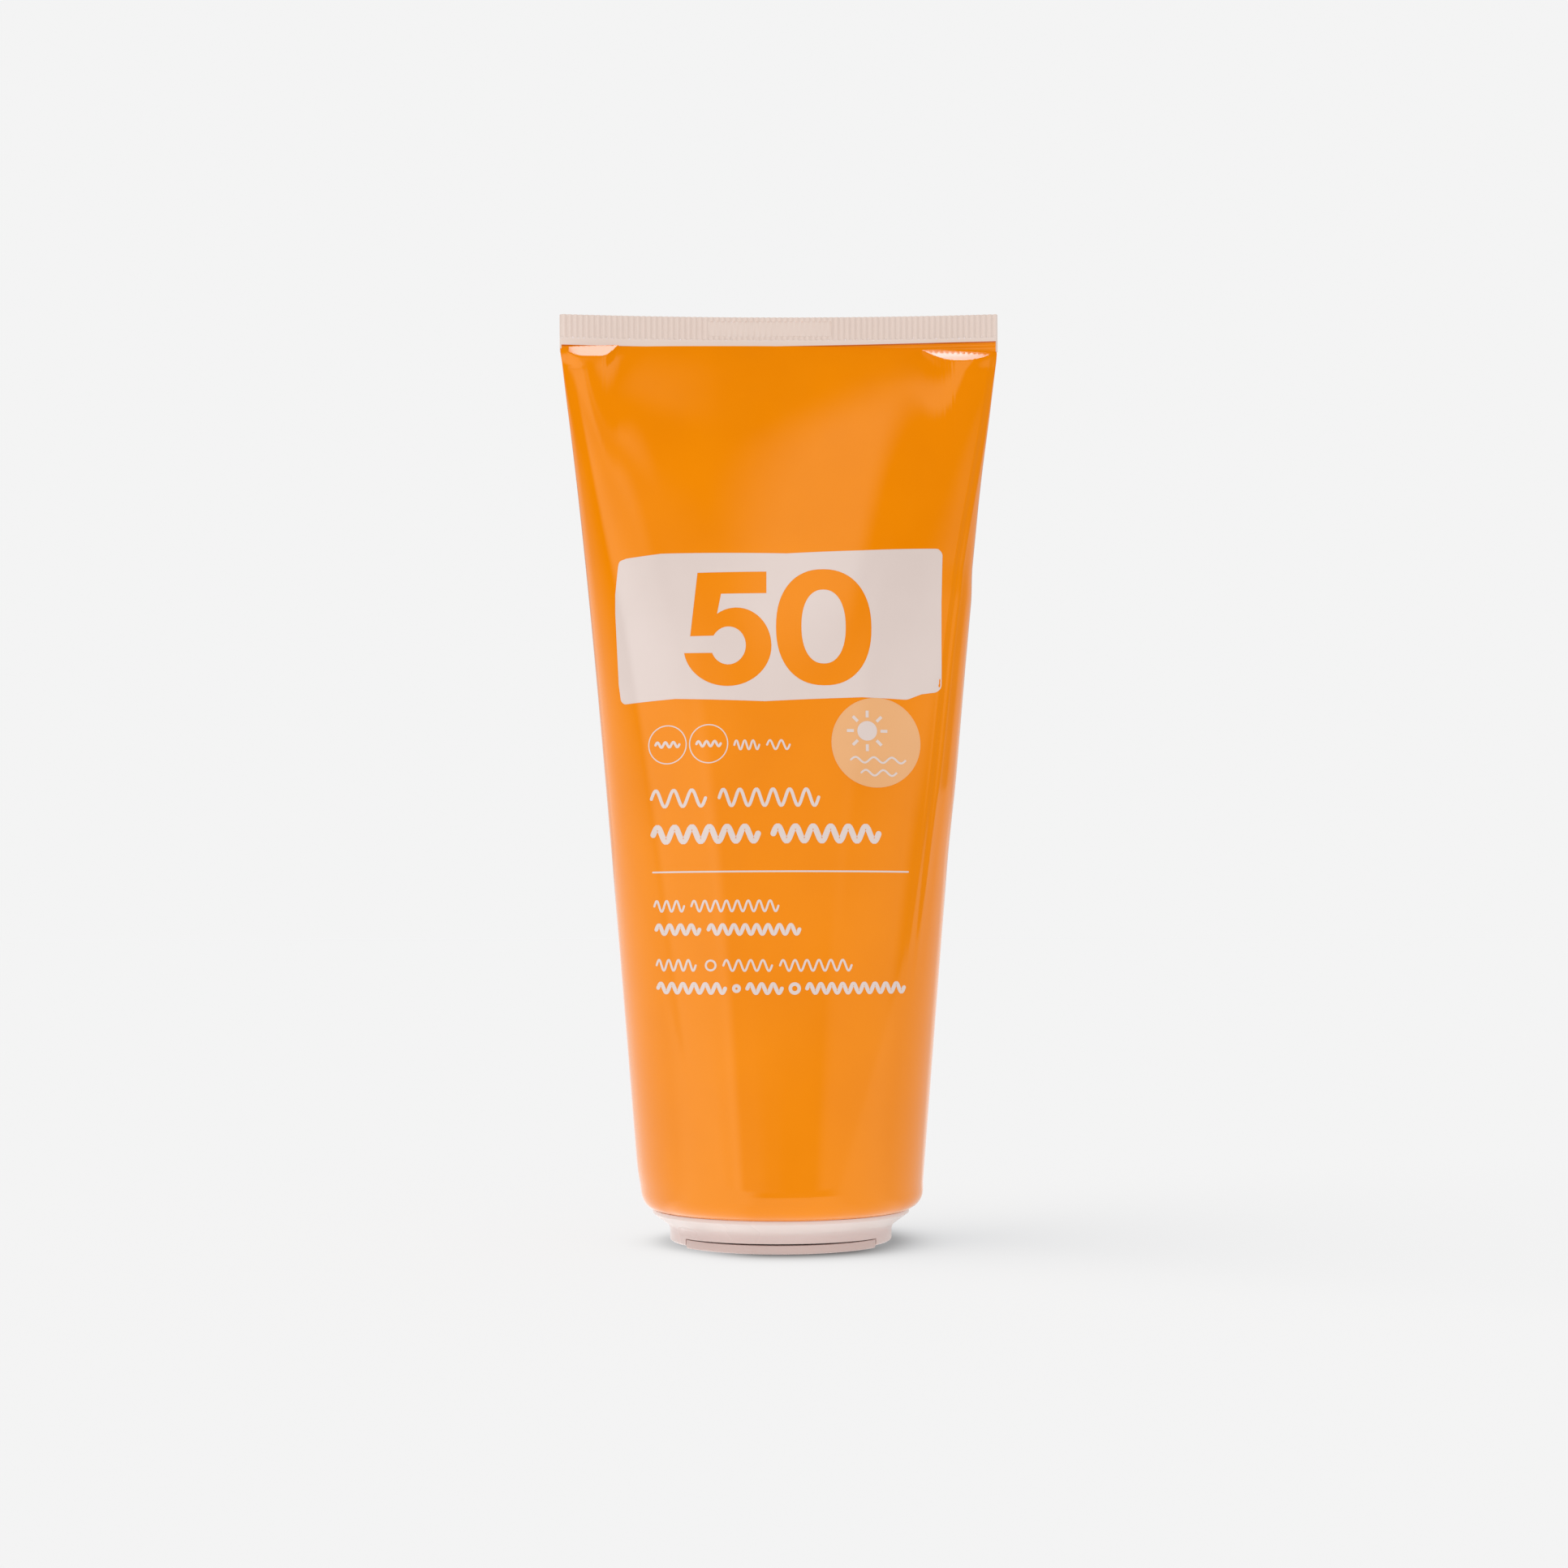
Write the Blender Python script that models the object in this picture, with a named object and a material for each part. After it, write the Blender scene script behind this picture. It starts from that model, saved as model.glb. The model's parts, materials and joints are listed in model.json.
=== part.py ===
"""Squeeze tube of sun cream that stands on its flip-top cap.

The origin is on the table under the middle of the tube, +Z is up, the front faces -Y.
Every height is measured from the table, so the cap comes first and the crimp last.
"""

import math

import bmesh
import bpy

MM = 0.001

# Fits: the gap between two pieces, and how far a cutter runs past what it cuts
clearance = 0.3 * MM
cut_overrun = 2.0 * MM
merge_distance = 0.001 * MM
smooth_angle = math.radians(35)

# Faces round a circle, round the sleeve and along an arc
cap_steps = 60
head_steps = 40
sleeve_steps = 56
arc_steps = 4

# Skirt of the cap: a short straight wall that flares out under the sleeve
skirt_lift = 0.4 * MM
skirt_wall = 1.3 * MM
skirt_edge = 0.25 * MM
flare_overhang = 3.3 * MM
flare_fillet = 1.7 * MM
flare_angle = math.radians(54)
flare_land = 0.8 * MM
flare_lip = 0.3 * MM
flare_inset = 2.5 * MM

# Lid: a flush disc with a raised rim, whose front lip fills a notch in the skirt
lid_plate = 1.2 * MM
lid_rim_height = 1.5 * MM
lid_rim_width = 1.1 * MM
lid_edge = 0.25 * MM
lip_half_angle = math.radians(58)
stand_ring_width = 3.6 * MM
stand_dish = 0.3 * MM
seat_ring_inset = 2.0 * MM
seat_ring_width = 0.8 * MM

# Deck of the cap behind the lid, with the nozzle in its middle
pocket_depth = 1.8 * MM
deck_thickness = 1.1 * MM
orifice_radius = 2.4 * MM
nozzle_wall = 1.2 * MM
nozzle_draft = 0.3 * MM
plug_reach = 0.6 * MM
plug_chamfer = 0.4 * MM
finger_scoop_rise = 0.3 * MM
finger_scoop_half_width = 8.0 * MM

# Snap fit between the neck and the cap
neck_radius = 9.0 * MM
neck_wall = 1.4 * MM
neck_lead = 0.3 * MM
bead_height = 0.5 * MM
bead_length = 0.6 * MM
socket_wall = 1.3 * MM
socket_lip = 0.8 * MM
seal_ring_wall = 0.9 * MM
seal_ring_height = 1.7 * MM
stiffener_count = 8
stiffener_thickness = 0.9 * MM
stiffener_height = 1.5 * MM
stiffener_sink_share = 0.25

# Living hinge: a straight film between two straps, on a flat cut across the back
hinge_half_width = 6.2 * MM
film_half_width = 2.2 * MM
strap_width = 2.6 * MM
strip_thickness = 0.4 * MM
strip_neck = 0.2 * MM
strip_neck_height = 0.4 * MM
strip_height = 2.2 * MM
hinge_relief = 3.4 * MM

# Sleeve: a round tube whose walls come together at the seal
sleeve_radius = 25.1 * MM
sleeve_wall = 0.5 * MM
shoulder_radius = 3.1 * MM
head_rise = 4.7 * MM
body_length = 148.2 * MM
weld_depth = 0.5 * MM
seal_thickness = 1.0 * MM
seal_height = 5.2 * MM
seal_step = 0.08 * MM
seal_dip = 0.6 * MM
pinch_angle = math.radians(35)
lay_flat_share = 0.98
linear_flare_share = 0.87
late_flare_power = 5
soft_minimum_power = 6
dip_power = 8
station_crowding_power = 1.7
bisection_steps = 40

# Ribs that the sealing jaws leave, and the smooth plate among them
rib_pitch = 1.0 * MM
rib_height = 0.16 * MM
rib_foot = 1.0 * MM
rib_ramp = 0.3 * MM
plate_centre = -1.6 * MM
plate_half_width = 10.9 * MM

# Tube head and what it holds
head_wall = 1.2 * MM
funnel_drop = 0.8 * MM
air_gap = 12.0 * MM
fill_stations = 9
body_stations = 12

# Levels and radii that follow from the sizes above
deck_bottom = skirt_lift + pocket_depth
deck_top = deck_bottom + deck_thickness
neck_end = deck_top + clearance
bead_bottom = neck_end + neck_lead
bead_top = bead_bottom + bead_length
cap_height = bead_top + clearance + socket_lip
flare_radius = sleeve_radius - flare_inset
skirt_radius = flare_radius - flare_overhang
pocket_radius = skirt_radius - skirt_wall
lid_radius = pocket_radius - clearance
notch_top = lid_rim_height + clearance
socket_radius = neck_radius + bead_height + clearance
shoulder_bottom = cap_height + clearance
arc_centre_radius = sleeve_radius - shoulder_radius
arc_centre_height = shoulder_bottom + shoulder_radius
taper_start = shoulder_bottom + head_rise
seal_base = taper_start + body_length - weld_depth
tube_top = seal_base + seal_height
neck_bore = neck_radius - neck_wall
head_radius = sleeve_radius - sleeve_wall - clearance
crimp_half_width = lay_flat_share * math.pi * sleeve_radius / 2
chord_y = math.sqrt(skirt_radius**2 - hinge_half_width**2)
hinge_face_y = chord_y - strip_thickness - clearance
hinge_y = chord_y - strip_thickness / 2
hinge_z = (lid_rim_height + notch_top) / 2


def clear_scene():
    for old in list(bpy.data.objects):
        bpy.data.objects.remove(old, do_unlink=True)


def plastic(name, colour, roughness):
    """A plain moulded plastic: colour is linear red, green and blue."""
    material = bpy.data.materials.new(name)
    material.use_nodes = True
    shader = material.node_tree.nodes["Principled BSDF"]
    shader.inputs["Base Color"].default_value = (*colour, 1)
    shader.inputs["Roughness"].default_value = roughness
    shader.inputs["Metallic"].default_value = 0
    material.diffuse_color = (*colour, 1)
    return material


def finish(name, bm, material=None, origin=(0, 0, 0)):
    """Turns a bmesh in world coordinates into an object whose origin is at the given point."""
    bmesh.ops.remove_doubles(bm, verts=bm.verts, dist=merge_distance)
    bmesh.ops.recalc_face_normals(bm, faces=bm.faces)
    bmesh.ops.translate(bm, verts=bm.verts, vec=[-value for value in origin])
    mesh = bpy.data.meshes.new(name)
    bm.to_mesh(mesh)
    bm.free()
    mesh.shade_smooth()
    mesh.set_sharp_from_angle(angle=smooth_angle)
    piece = bpy.data.objects.new(name, mesh)
    piece.location = origin
    bpy.context.collection.objects.link(piece)
    if material:
        mesh.materials.append(material)
    return piece


def helper(name, bm):
    """A cutter or an addition: it shapes another piece and isn't one itself."""
    shape = finish(name, bm)
    shape.hide_render = True
    shape.display_type = "WIRE"
    return shape


def combine(piece, shape, operation):
    boolean = piece.modifiers.new(shape.name, "BOOLEAN")
    boolean.operation = operation
    boolean.object = shape
    boolean.solver = "EXACT"


def arc(centre_r, centre_z, radius, start, end):
    """Points of a profile's arc; an angle of 0 points away from the axis, and 90 degrees up."""
    return [
        (
            centre_r + radius * math.cos(start + (end - start) * step / arc_steps),
            centre_z + radius * math.sin(start + (end - start) * step / arc_steps),
        )
        for step in range(arc_steps + 1)
    ]


def revolve(profile, steps):
    """Spins a profile of (radius, height) points round the tube's axis.

    A profile that starts and ends on the axis stays open there, and any other is closed first.
    """
    bm = bmesh.new()
    points = [bm.verts.new((radius, 0, height)) for radius, height in profile]
    edges = [bm.edges.new(pair) for pair in zip(points, points[1:])]
    if profile[0][0] > 0:
        edges.append(bm.edges.new((points[-1], points[0])))
    bmesh.ops.spin(
        bm,
        geom=points + edges,
        axis=(0, 0, 1),
        cent=(0, 0, 0),
        angle=2 * math.pi,
        steps=steps,
        use_merge=True,
    )
    return bm


def ring_sector(inner, outer, bottom, top, start, end, steps):
    """A block between two radii, two heights and two angles; an angle of 0 is at +X."""
    bm = bmesh.new()
    corners = [(inner, bottom), (outer, bottom), (outer, top), (inner, top)]
    face = bm.faces.new(
        [
            bm.verts.new((radius * math.cos(start), radius * math.sin(start), height))
            for radius, height in corners
        ]
    )
    bmesh.ops.spin(
        bm,
        geom=[face, *face.verts, *face.edges],
        axis=(0, 0, 1),
        cent=(0, 0, 0),
        angle=end - start,
        steps=steps,
    )
    return bm


def prism(outline, axis, low, high):
    """Extrudes an outline between two places along an axis: its points lie on the other two."""
    bm = bmesh.new()
    ends = []
    for place in (low, high):
        ends.append([])
        for first, second in outline:
            where = [first, second]
            where.insert(axis, place)
            ends[-1].append(bm.verts.new(where))
    bm.faces.new(ends[0])
    bm.faces.new(ends[1])
    bridge(bm, *ends)
    return bm


def box(x_range, y_range, z_range):
    (y_low, y_high), (z_low, z_high) = y_range, z_range
    outline = [(y_low, z_low), (y_high, z_low), (y_high, z_high), (y_low, z_high)]
    return prism(outline, 0, *x_range)


def bridge(bm, lower, upper):
    """Joins two rings of as many points with a band of faces."""
    for index, point in enumerate(lower):
        before = index - 1
        bm.faces.new((lower[before], point, upper[index], upper[before]))


def flare_fillet_arc():
    """The concave corner from the skirt's straight wall into its flare."""
    slope_run = cap_height - flare_lip
    meet = slope_run - (flare_radius - skirt_radius) / math.tan(flare_angle)
    tangent = flare_fillet * math.tan(flare_angle / 2)
    return arc(
        skirt_radius + flare_fillet,
        meet - tangent,
        flare_fillet,
        math.pi,
        math.pi - flare_angle,
    )


def cap_profile():
    inner_slope_foot = (
        flare_radius - flare_land - (cap_height - deck_top) * math.tan(flare_angle)
    )
    socket_top = cap_height
    lip_radius = neck_radius + clearance
    seal_outer = neck_bore - clearance
    nozzle_tip = lid_plate + clearance
    return [
        (skirt_radius - skirt_edge, skirt_lift),
        (skirt_radius, skirt_lift + skirt_edge),
        *flare_fillet_arc(),
        (flare_radius, cap_height - flare_lip),
        (flare_radius, cap_height),
        (flare_radius - flare_land, cap_height),
        (inner_slope_foot, deck_top),
        (socket_radius + socket_wall, deck_top),
        (socket_radius + socket_wall, socket_top),
        (lip_radius, socket_top),
        (lip_radius, socket_top - socket_lip),
        (socket_radius, socket_top - socket_lip),
        (socket_radius, deck_top),
        (seal_outer, deck_top),
        (seal_outer, deck_top + seal_ring_height),
        (seal_outer - seal_ring_wall, deck_top + seal_ring_height),
        (seal_outer - seal_ring_wall, deck_top),
        (orifice_radius, deck_top),
        (orifice_radius, nozzle_tip),
        (orifice_radius + nozzle_wall, nozzle_tip),
        (orifice_radius + nozzle_wall + nozzle_draft, deck_bottom),
        (pocket_radius, deck_bottom),
        (pocket_radius, skirt_lift),
    ]


def lid_profile():
    plug_radius = orifice_radius - clearance
    plug_top = deck_top + plug_reach
    seat_top = deck_bottom - clearance
    rim_inner = lid_radius - lid_rim_width
    dish_radius = lid_radius - stand_ring_width
    seat_outer = rim_inner - seat_ring_inset
    seat_inner = seat_outer - seat_ring_width
    return [
        (0, stand_dish),
        (dish_radius - stand_dish, stand_dish),
        (dish_radius, 0),
        (skirt_radius - lid_edge, 0),
        (skirt_radius, lid_edge),
        (skirt_radius, lid_rim_height),
        (rim_inner, lid_rim_height),
        (rim_inner, lid_plate),
        (seat_outer, lid_plate),
        (seat_outer, seat_top),
        (seat_inner, seat_top),
        (seat_inner, lid_plate),
        (plug_radius, lid_plate),
        (plug_radius, plug_top - plug_chamfer),
        (plug_radius - plug_chamfer, plug_top),
        (0, plug_top),
    ]


def head_profile():
    shelf_radius = arc_centre_radius - clearance
    outer_arc = shoulder_radius - sleeve_wall - clearance
    inner_arc = outer_arc - head_wall
    return [
        (neck_bore, neck_end),
        (neck_radius, neck_end),
        (neck_radius + bead_height, bead_bottom),
        (neck_radius + bead_height, bead_top - bead_height / 2),
        (neck_radius, bead_top),
        (neck_radius, shoulder_bottom),
        (shelf_radius, shoulder_bottom),
        (shelf_radius, arc_centre_height - outer_arc),
        *arc(arc_centre_radius, arc_centre_height, outer_arc, -math.pi / 2, 0),
        (head_radius, taper_start),
        (head_radius - head_wall, taper_start),
        *arc(arc_centre_radius, arc_centre_height, inner_arc, 0, -math.pi / 2),
        (neck_bore, arc_centre_height - inner_arc - funnel_drop),
    ]


def ellipse_perimeter(half_width, half_depth):
    """The girth of an ellipse, from a close series."""
    total = half_width + half_depth
    ratio = ((half_width - half_depth) / total) ** 2
    return math.pi * total * (1 + 3 * ratio / (10 + math.sqrt(4 - 3 * ratio)))


def depth_of_same_sleeve(half_width):
    """The half depth that leaves the sleeve's girth as it was when it was round."""
    girth = 2 * math.pi * sleeve_radius
    low, high = 0, sleeve_radius
    for _ in range(bisection_steps):
        middle = (low + high) / 2
        if ellipse_perimeter(half_width, middle) < girth:
            low = middle
        else:
            high = middle
    return high


def body_section(share):
    """Half width and half depth of the sleeve at a share of the way up to the seal."""
    wide = linear_flare_share * share + (1 - linear_flare_share) * share**late_flare_power
    top_half_width = crimp_half_width - seal_step
    half_width = sleeve_radius + (top_half_width - sleeve_radius) * wide
    below_top = (1 - share) * body_length
    wedge = seal_thickness / 2 - seal_step + below_top * math.tan(pinch_angle)
    full = depth_of_same_sleeve(half_width)
    power = soft_minimum_power
    half_depth = (full**-power + wedge**-power) ** (-1 / power)
    return half_width, half_depth


def station_share(step, steps):
    """Stations up the sleeve, closer together towards the seal."""
    return 1 - (1 - step / steps) ** station_crowding_power


def dipped(x, z):
    """The height of a point, once the seal's middle has sunk a little between its ends."""
    reach = min(1, max(0, (z - taper_start) / body_length))
    return z - seal_dip * reach**dip_power * (1 - (x / crimp_half_width) ** 2)


def ellipse_ring(bm, half_width, half_depth, height):
    ring = []
    for step in range(sleeve_steps):
        angle = 2 * math.pi * step / sleeve_steps
        x, y = half_width * math.cos(angle), half_depth * math.sin(angle)
        ring.append(bm.verts.new((x, y, dipped(x, height))))
    return ring


def skinned(rings, bm):
    """One closed solid through a row of rings, with a face over the first and the last."""
    for lower, upper in zip(rings, rings[1:]):
        bridge(bm, lower, upper)
    bm.faces.new(rings[0])
    bm.faces.new(rings[-1])
    return bm


def sleeve_mesh():
    """The wall as a turned-back loft: up the outside, closed in the seal, and down the inside."""
    bm = bmesh.new()
    low, side = -math.pi / 2, 0
    bottom_arc = arc(arc_centre_radius, arc_centre_height, shoulder_radius, low, side)
    inner_radius = shoulder_radius - sleeve_wall
    inner_arc = arc(arc_centre_radius, arc_centre_height, inner_radius, low, side)
    outer = [ellipse_ring(bm, radius, radius, height) for radius, height in bottom_arc]
    inner = [ellipse_ring(bm, radius, radius, height) for radius, height in inner_arc]
    for step in range(body_stations + 1):
        share = station_share(step, body_stations)
        half_width, half_depth = body_section(share)
        height = taper_start + share * body_length
        outer.append(ellipse_ring(bm, half_width, half_depth, height))
        if half_depth > 2 * sleeve_wall:
            inside = half_width - sleeve_wall, half_depth - sleeve_wall
            inner.append(ellipse_ring(bm, *inside, height))
    half_width, half_depth = body_section(1)
    outer.append(ellipse_ring(bm, half_width, half_depth, seal_base + seal_height / 2))
    for rings in (outer, inner):
        for lower, upper in zip(rings, rings[1:]):
            bridge(bm, lower, upper)
        bm.faces.new(rings[-1])
    bridge(bm, outer[0], inner[0])
    return bm


def seal_faces(bm, height, crest):
    """The seal's front and back points: the back runs in step, as the jaws press both."""
    half = seal_thickness / 2
    span = 2 * (crimp_half_width - half)
    count = 2 * round(span / rib_pitch)
    front, back = [(-crimp_half_width, 0)], []
    for index in range(count + 1):
        x = span * (index / count - 1 / 2)
        ribbed = index % 2 and abs(x - plate_centre) > plate_half_width
        push = crest if ribbed else 0
        front.append((x, -half - push))
        back.append((x, half - push))
    front.append((crimp_half_width, 0))
    return [
        [bm.verts.new((x, y, dipped(x, height))) for x, y in points]
        for points in (front, back)
    ]


def close_seal(bm, front, back):
    """Closes an end of the seal with a strip of faces, which follows the dip."""
    bm.faces.new((front[0], front[1], back[0]))
    bm.faces.new((front[-2], front[-1], back[-1]))
    near, far = front[1:-1], back
    for index in range(len(back) - 1):
        bm.faces.new((near[index], near[index + 1], far[index + 1], far[index]))


def seal_mesh():
    """The welded band of both walls, pressed into upright ribs above its plain foot."""
    bm = bmesh.new()
    levels = [
        (seal_base, 0),
        (seal_base + rib_foot, 0),
        (seal_base + rib_foot + rib_ramp, rib_height),
        (tube_top, rib_height),
    ]
    faces = [seal_faces(bm, height, crest) for height, crest in levels]
    rings = [[*front, *reversed(back)] for front, back in faces]
    for lower, upper in zip(rings, rings[1:]):
        bridge(bm, lower, upper)
    close_seal(bm, *faces[0])
    close_seal(bm, *faces[-1])
    return bm


def fill_mesh():
    """The cream, a clearance inside the sleeve and the head, with air under the seal."""
    bm = bmesh.new()
    inside = sleeve_wall + clearance
    funnel_arc = shoulder_radius - inside - head_wall - clearance
    funnel_outer = head_radius - head_wall - clearance
    funnel_top = arc_centre_height - funnel_arc
    plug_radius = neck_bore - clearance
    plug_bottom = deck_top + seal_ring_height + clearance
    turned = [
        (plug_radius, plug_bottom),
        (plug_radius, funnel_top - funnel_drop),
        (arc_centre_radius, funnel_top),
        (funnel_outer, arc_centre_height),
        (funnel_outer, taper_start + clearance),
        (sleeve_radius - inside - clearance, taper_start + clearance),
    ]
    rings = [ellipse_ring(bm, radius, radius, height) for radius, height in turned]
    top_share = 1 - air_gap / body_length
    for step in range(1, fill_stations + 1):
        share = top_share * step / fill_stations
        half_width, half_depth = body_section(share)
        height = taper_start + share * body_length
        rings.append(ellipse_ring(bm, half_width - inside, half_depth - inside, height))
    return skinned(rings, bm)


def make_tube():
    printed = plastic("printed_sleeve", (0.871, 0.254, 0.011), 0.28)
    natural = plastic("natural_head", (0.78, 0.76, 0.72), 0.45)
    cream = plastic("cream", (0.86, 0.82, 0.72), 0.5)
    sleeve = finish("tube_sleeve", sleeve_mesh(), printed)
    combine(sleeve, helper("seal_band", seal_mesh()), "UNION")
    finish("tube_head", revolve(head_profile(), head_steps), natural)
    finish("cream_fill", fill_mesh(), cream)


def stiffener_mesh():
    """Radial ribs that tie the snap socket to the flared skirt, sunk into both and the deck."""
    bm = bmesh.new()
    start = socket_radius + socket_wall / 2
    top = deck_top + stiffener_height
    outer_top = flare_radius - flare_land - (cap_height - top) * math.tan(flare_angle)
    end = outer_top + stiffener_sink_share * skirt_wall
    foot = deck_top - stiffener_sink_share * deck_thickness
    half = stiffener_thickness / 2
    foot_end = end - stiffener_height * math.tan(flare_angle)
    outline = [(start, foot), (foot_end, foot), (end, top), (start, top)]
    for index in range(stiffener_count):
        turn = 2 * math.pi * (index + 1 / 2) / stiffener_count
        sides = []
        for side in (-half, half):
            sides.append(
                [
                    bm.verts.new(
                        (
                            radius * math.cos(turn) - side * math.sin(turn),
                            radius * math.sin(turn) + side * math.cos(turn),
                            height,
                        )
                    )
                    for radius, height in outline
                ]
            )
        bm.faces.new(sides[0])
        bm.faces.new(sides[1])
        bridge(bm, *sides)
    return bm


def make_cap(pale):
    base = finish("cap_base", revolve(cap_profile(), cap_steps), pale)
    combine(base, helper("stiffeners", stiffener_mesh()), "UNION")
    front, outside = -math.pi / 2, skirt_radius + cut_overrun
    notch_half = lip_half_angle + clearance / skirt_radius
    notch = ring_sector(
        pocket_radius - clearance,
        outside,
        skirt_lift - cut_overrun,
        notch_top,
        front - notch_half,
        front + notch_half,
        cap_steps // 2,
    )
    combine(base, helper("notch_cutter", notch), "DIFFERENCE")
    combine(base, helper("finger_scoop", scoop_mesh(outside)), "DIFFERENCE")
    window_half = hinge_half_width + hinge_relief
    window_y = math.sqrt(lid_radius**2 - window_half**2) - cut_overrun
    below = skirt_lift - cut_overrun
    window = box((-window_half, window_half), (window_y, outside), (below, notch_top))
    combine(base, helper("hinge_window", window), "DIFFERENCE")
    seat_half = hinge_half_width + clearance
    seat_top = hinge_z + strip_height / 2 + clearance
    seat = box((-seat_half, seat_half), (hinge_face_y, outside), (below, seat_top))
    combine(base, helper("hinge_seat", seat), "DIFFERENCE")


def scoop_mesh(outside):
    """A shallow arch over the lip's middle, where a fingertip gets hold of the lid."""
    rise, half = finger_scoop_rise, finger_scoop_half_width
    foot = notch_top - clearance
    height = notch_top + rise - foot
    steps = 2 * arc_steps
    outline = [(half, foot), (-half, foot)]
    for step in range(1, steps):
        x = half * (2 * step / steps - 1)
        outline.append((x, foot + height * (1 - (x / half) ** 2)))
    behind_wall = math.sqrt(pocket_radius**2 - half**2)
    return prism(outline, 1, -outside, -behind_wall)


def make_lid(pale, hinge):
    lid_origin = (0, hinge_y, hinge_z)
    lid = finish("flip_lid", revolve(lid_profile(), cap_steps), pale, lid_origin)
    lid.location = (0, 0, 0)
    lid.parent = hinge
    front = -math.pi / 2
    tab_half = math.asin(hinge_half_width / skirt_radius)
    side_turn = math.pi - lip_half_angle - tab_half
    outside = skirt_radius + cut_overrun
    levels = (-cut_overrun, lid_rim_height + cut_overrun)
    for side, start in (
        ("right", front + lip_half_angle),
        ("left", front - lip_half_angle - side_turn),
    ):
        sector = ring_sector(
            lid_radius, outside, *levels, start, start + side_turn, cap_steps // 3
        )
        combine(lid, helper(f"lid_side_{side}", sector), "DIFFERENCE")
    back = box((-outside, outside), (hinge_face_y, outside), levels)
    combine(lid, helper("lid_back", back), "DIFFERENCE")


def hinge_strip(name, x_low, x_high, pale, hinge):
    """A strip that is thin across its middle, where it bends, and thicker where it is moulded on."""
    outer, half = chord_y, strip_height / 2
    inner = outer - strip_thickness
    waist = outer - strip_neck
    neck_half = strip_neck_height / 2
    outline = [
        (outer, hinge_z - half),
        (outer, hinge_z + half),
        (inner, hinge_z + half),
        (inner, hinge_z + strip_neck_height),
        (waist, hinge_z + neck_half),
        (waist, hinge_z - neck_half),
        (inner, hinge_z - strip_neck_height),
        (inner, hinge_z - half),
    ]
    strip = finish(name, prism(outline, 0, x_low, x_high), pale, (0, hinge_y, hinge_z))
    strip.location = (0, 0, 0)
    strip.parent = hinge


def make_hinge(pale, hinge):
    hinge_strip("hinge_film", -film_half_width, film_half_width, pale, hinge)
    outer = hinge_half_width
    inner = hinge_half_width - strap_width
    hinge_strip("hinge_strap_left", -outer, -inner, pale, hinge)
    hinge_strip("hinge_strap_right", inner, outer, pale, hinge)


def build():
    clear_scene()
    pale = plastic("pale_cap", (0.761, 0.624, 0.571), 0.42)
    hinge = bpy.data.objects.new("lid_hinge", None)
    hinge.location = (0, hinge_y, hinge_z)
    bpy.context.collection.objects.link(hinge)
    make_tube()
    make_cap(pale)
    make_lid(pale, hinge)
    make_hinge(pale, hinge)


build()
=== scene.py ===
import json
import math

import bmesh
import bpy
import numpy as np
from mathutils import Euler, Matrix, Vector
from mathutils.geometry import delaunay_2d_cdt


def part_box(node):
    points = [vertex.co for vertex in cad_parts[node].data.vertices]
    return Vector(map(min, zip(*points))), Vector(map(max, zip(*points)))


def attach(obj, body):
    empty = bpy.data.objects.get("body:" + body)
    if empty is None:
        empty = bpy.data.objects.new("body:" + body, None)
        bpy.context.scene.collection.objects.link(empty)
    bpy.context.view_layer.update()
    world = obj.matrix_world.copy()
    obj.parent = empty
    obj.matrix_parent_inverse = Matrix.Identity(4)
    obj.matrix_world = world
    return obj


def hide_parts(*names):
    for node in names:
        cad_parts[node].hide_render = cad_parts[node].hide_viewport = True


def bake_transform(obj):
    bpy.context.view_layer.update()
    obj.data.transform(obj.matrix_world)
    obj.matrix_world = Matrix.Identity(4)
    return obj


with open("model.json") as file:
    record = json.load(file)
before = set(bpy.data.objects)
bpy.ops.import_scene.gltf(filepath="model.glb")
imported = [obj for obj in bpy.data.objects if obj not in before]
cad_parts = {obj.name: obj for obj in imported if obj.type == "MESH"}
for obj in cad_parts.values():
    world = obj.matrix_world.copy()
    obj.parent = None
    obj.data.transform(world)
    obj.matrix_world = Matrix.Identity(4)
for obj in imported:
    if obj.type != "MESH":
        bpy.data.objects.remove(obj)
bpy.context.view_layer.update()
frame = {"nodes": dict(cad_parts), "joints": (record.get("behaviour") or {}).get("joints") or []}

# Looks of a squeeze tube that stands on its flip-top cap. Metres, +Z up, the printed front at -Y.

MM = 0.001

# Places read from the frame
sleeve_low, sleeve_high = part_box("tube_sleeve")
base_low, base_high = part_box("cap_base")
film_low, film_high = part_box("hinge_film")
strap_low, strap_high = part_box("hinge_strap_right")
tube_top = sleeve_high.z
sleeve_bottom = sleeve_low.z
crimp_half_width = sleeve_high.x
sleeve_radius = sleeve_high.y
flare_radius = base_high.x
skirt_lift = base_low.z
cap_top = base_high.z
hinge_axis = Vector(frame["joints"][0]["pos_m"])

# Sleeve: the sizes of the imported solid, with a slimmer pinch
sleeve_wall = 0.5 * MM
shoulder_radius = 3.3 * MM
shoulder_rows = (14, 6)
head_rise = 4.7 * MM
head_wall = 1.2 * MM
seal_height = 5.2 * MM
weld_depth = 0.5 * MM
seal_thickness = 1.0 * MM
seal_step = 0.08 * MM
seal_dip = 0.6 * MM
seal_tilt = 0.12 * MM
pinch_angle = math.radians(31)
linear_flare_share = 0.87
late_flare_power = 5
soft_minimum_power = 6
dip_power = 8
halvings = 40
taper_start = sleeve_bottom + head_rise
seal_base = tube_top - seal_height
body_length = seal_base + weld_depth - taper_start

# Columns of the sleeve's mesh up to places round it, in half turns: finest along the right crease
sleeve_columns = [(0, 0), (150, 1), (290, 1.25), (410, 1.7), (800, 2)]
outer_rows = 230
row_crowding = 1.9
inner_rows = 40
inner_end = 0.985

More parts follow.
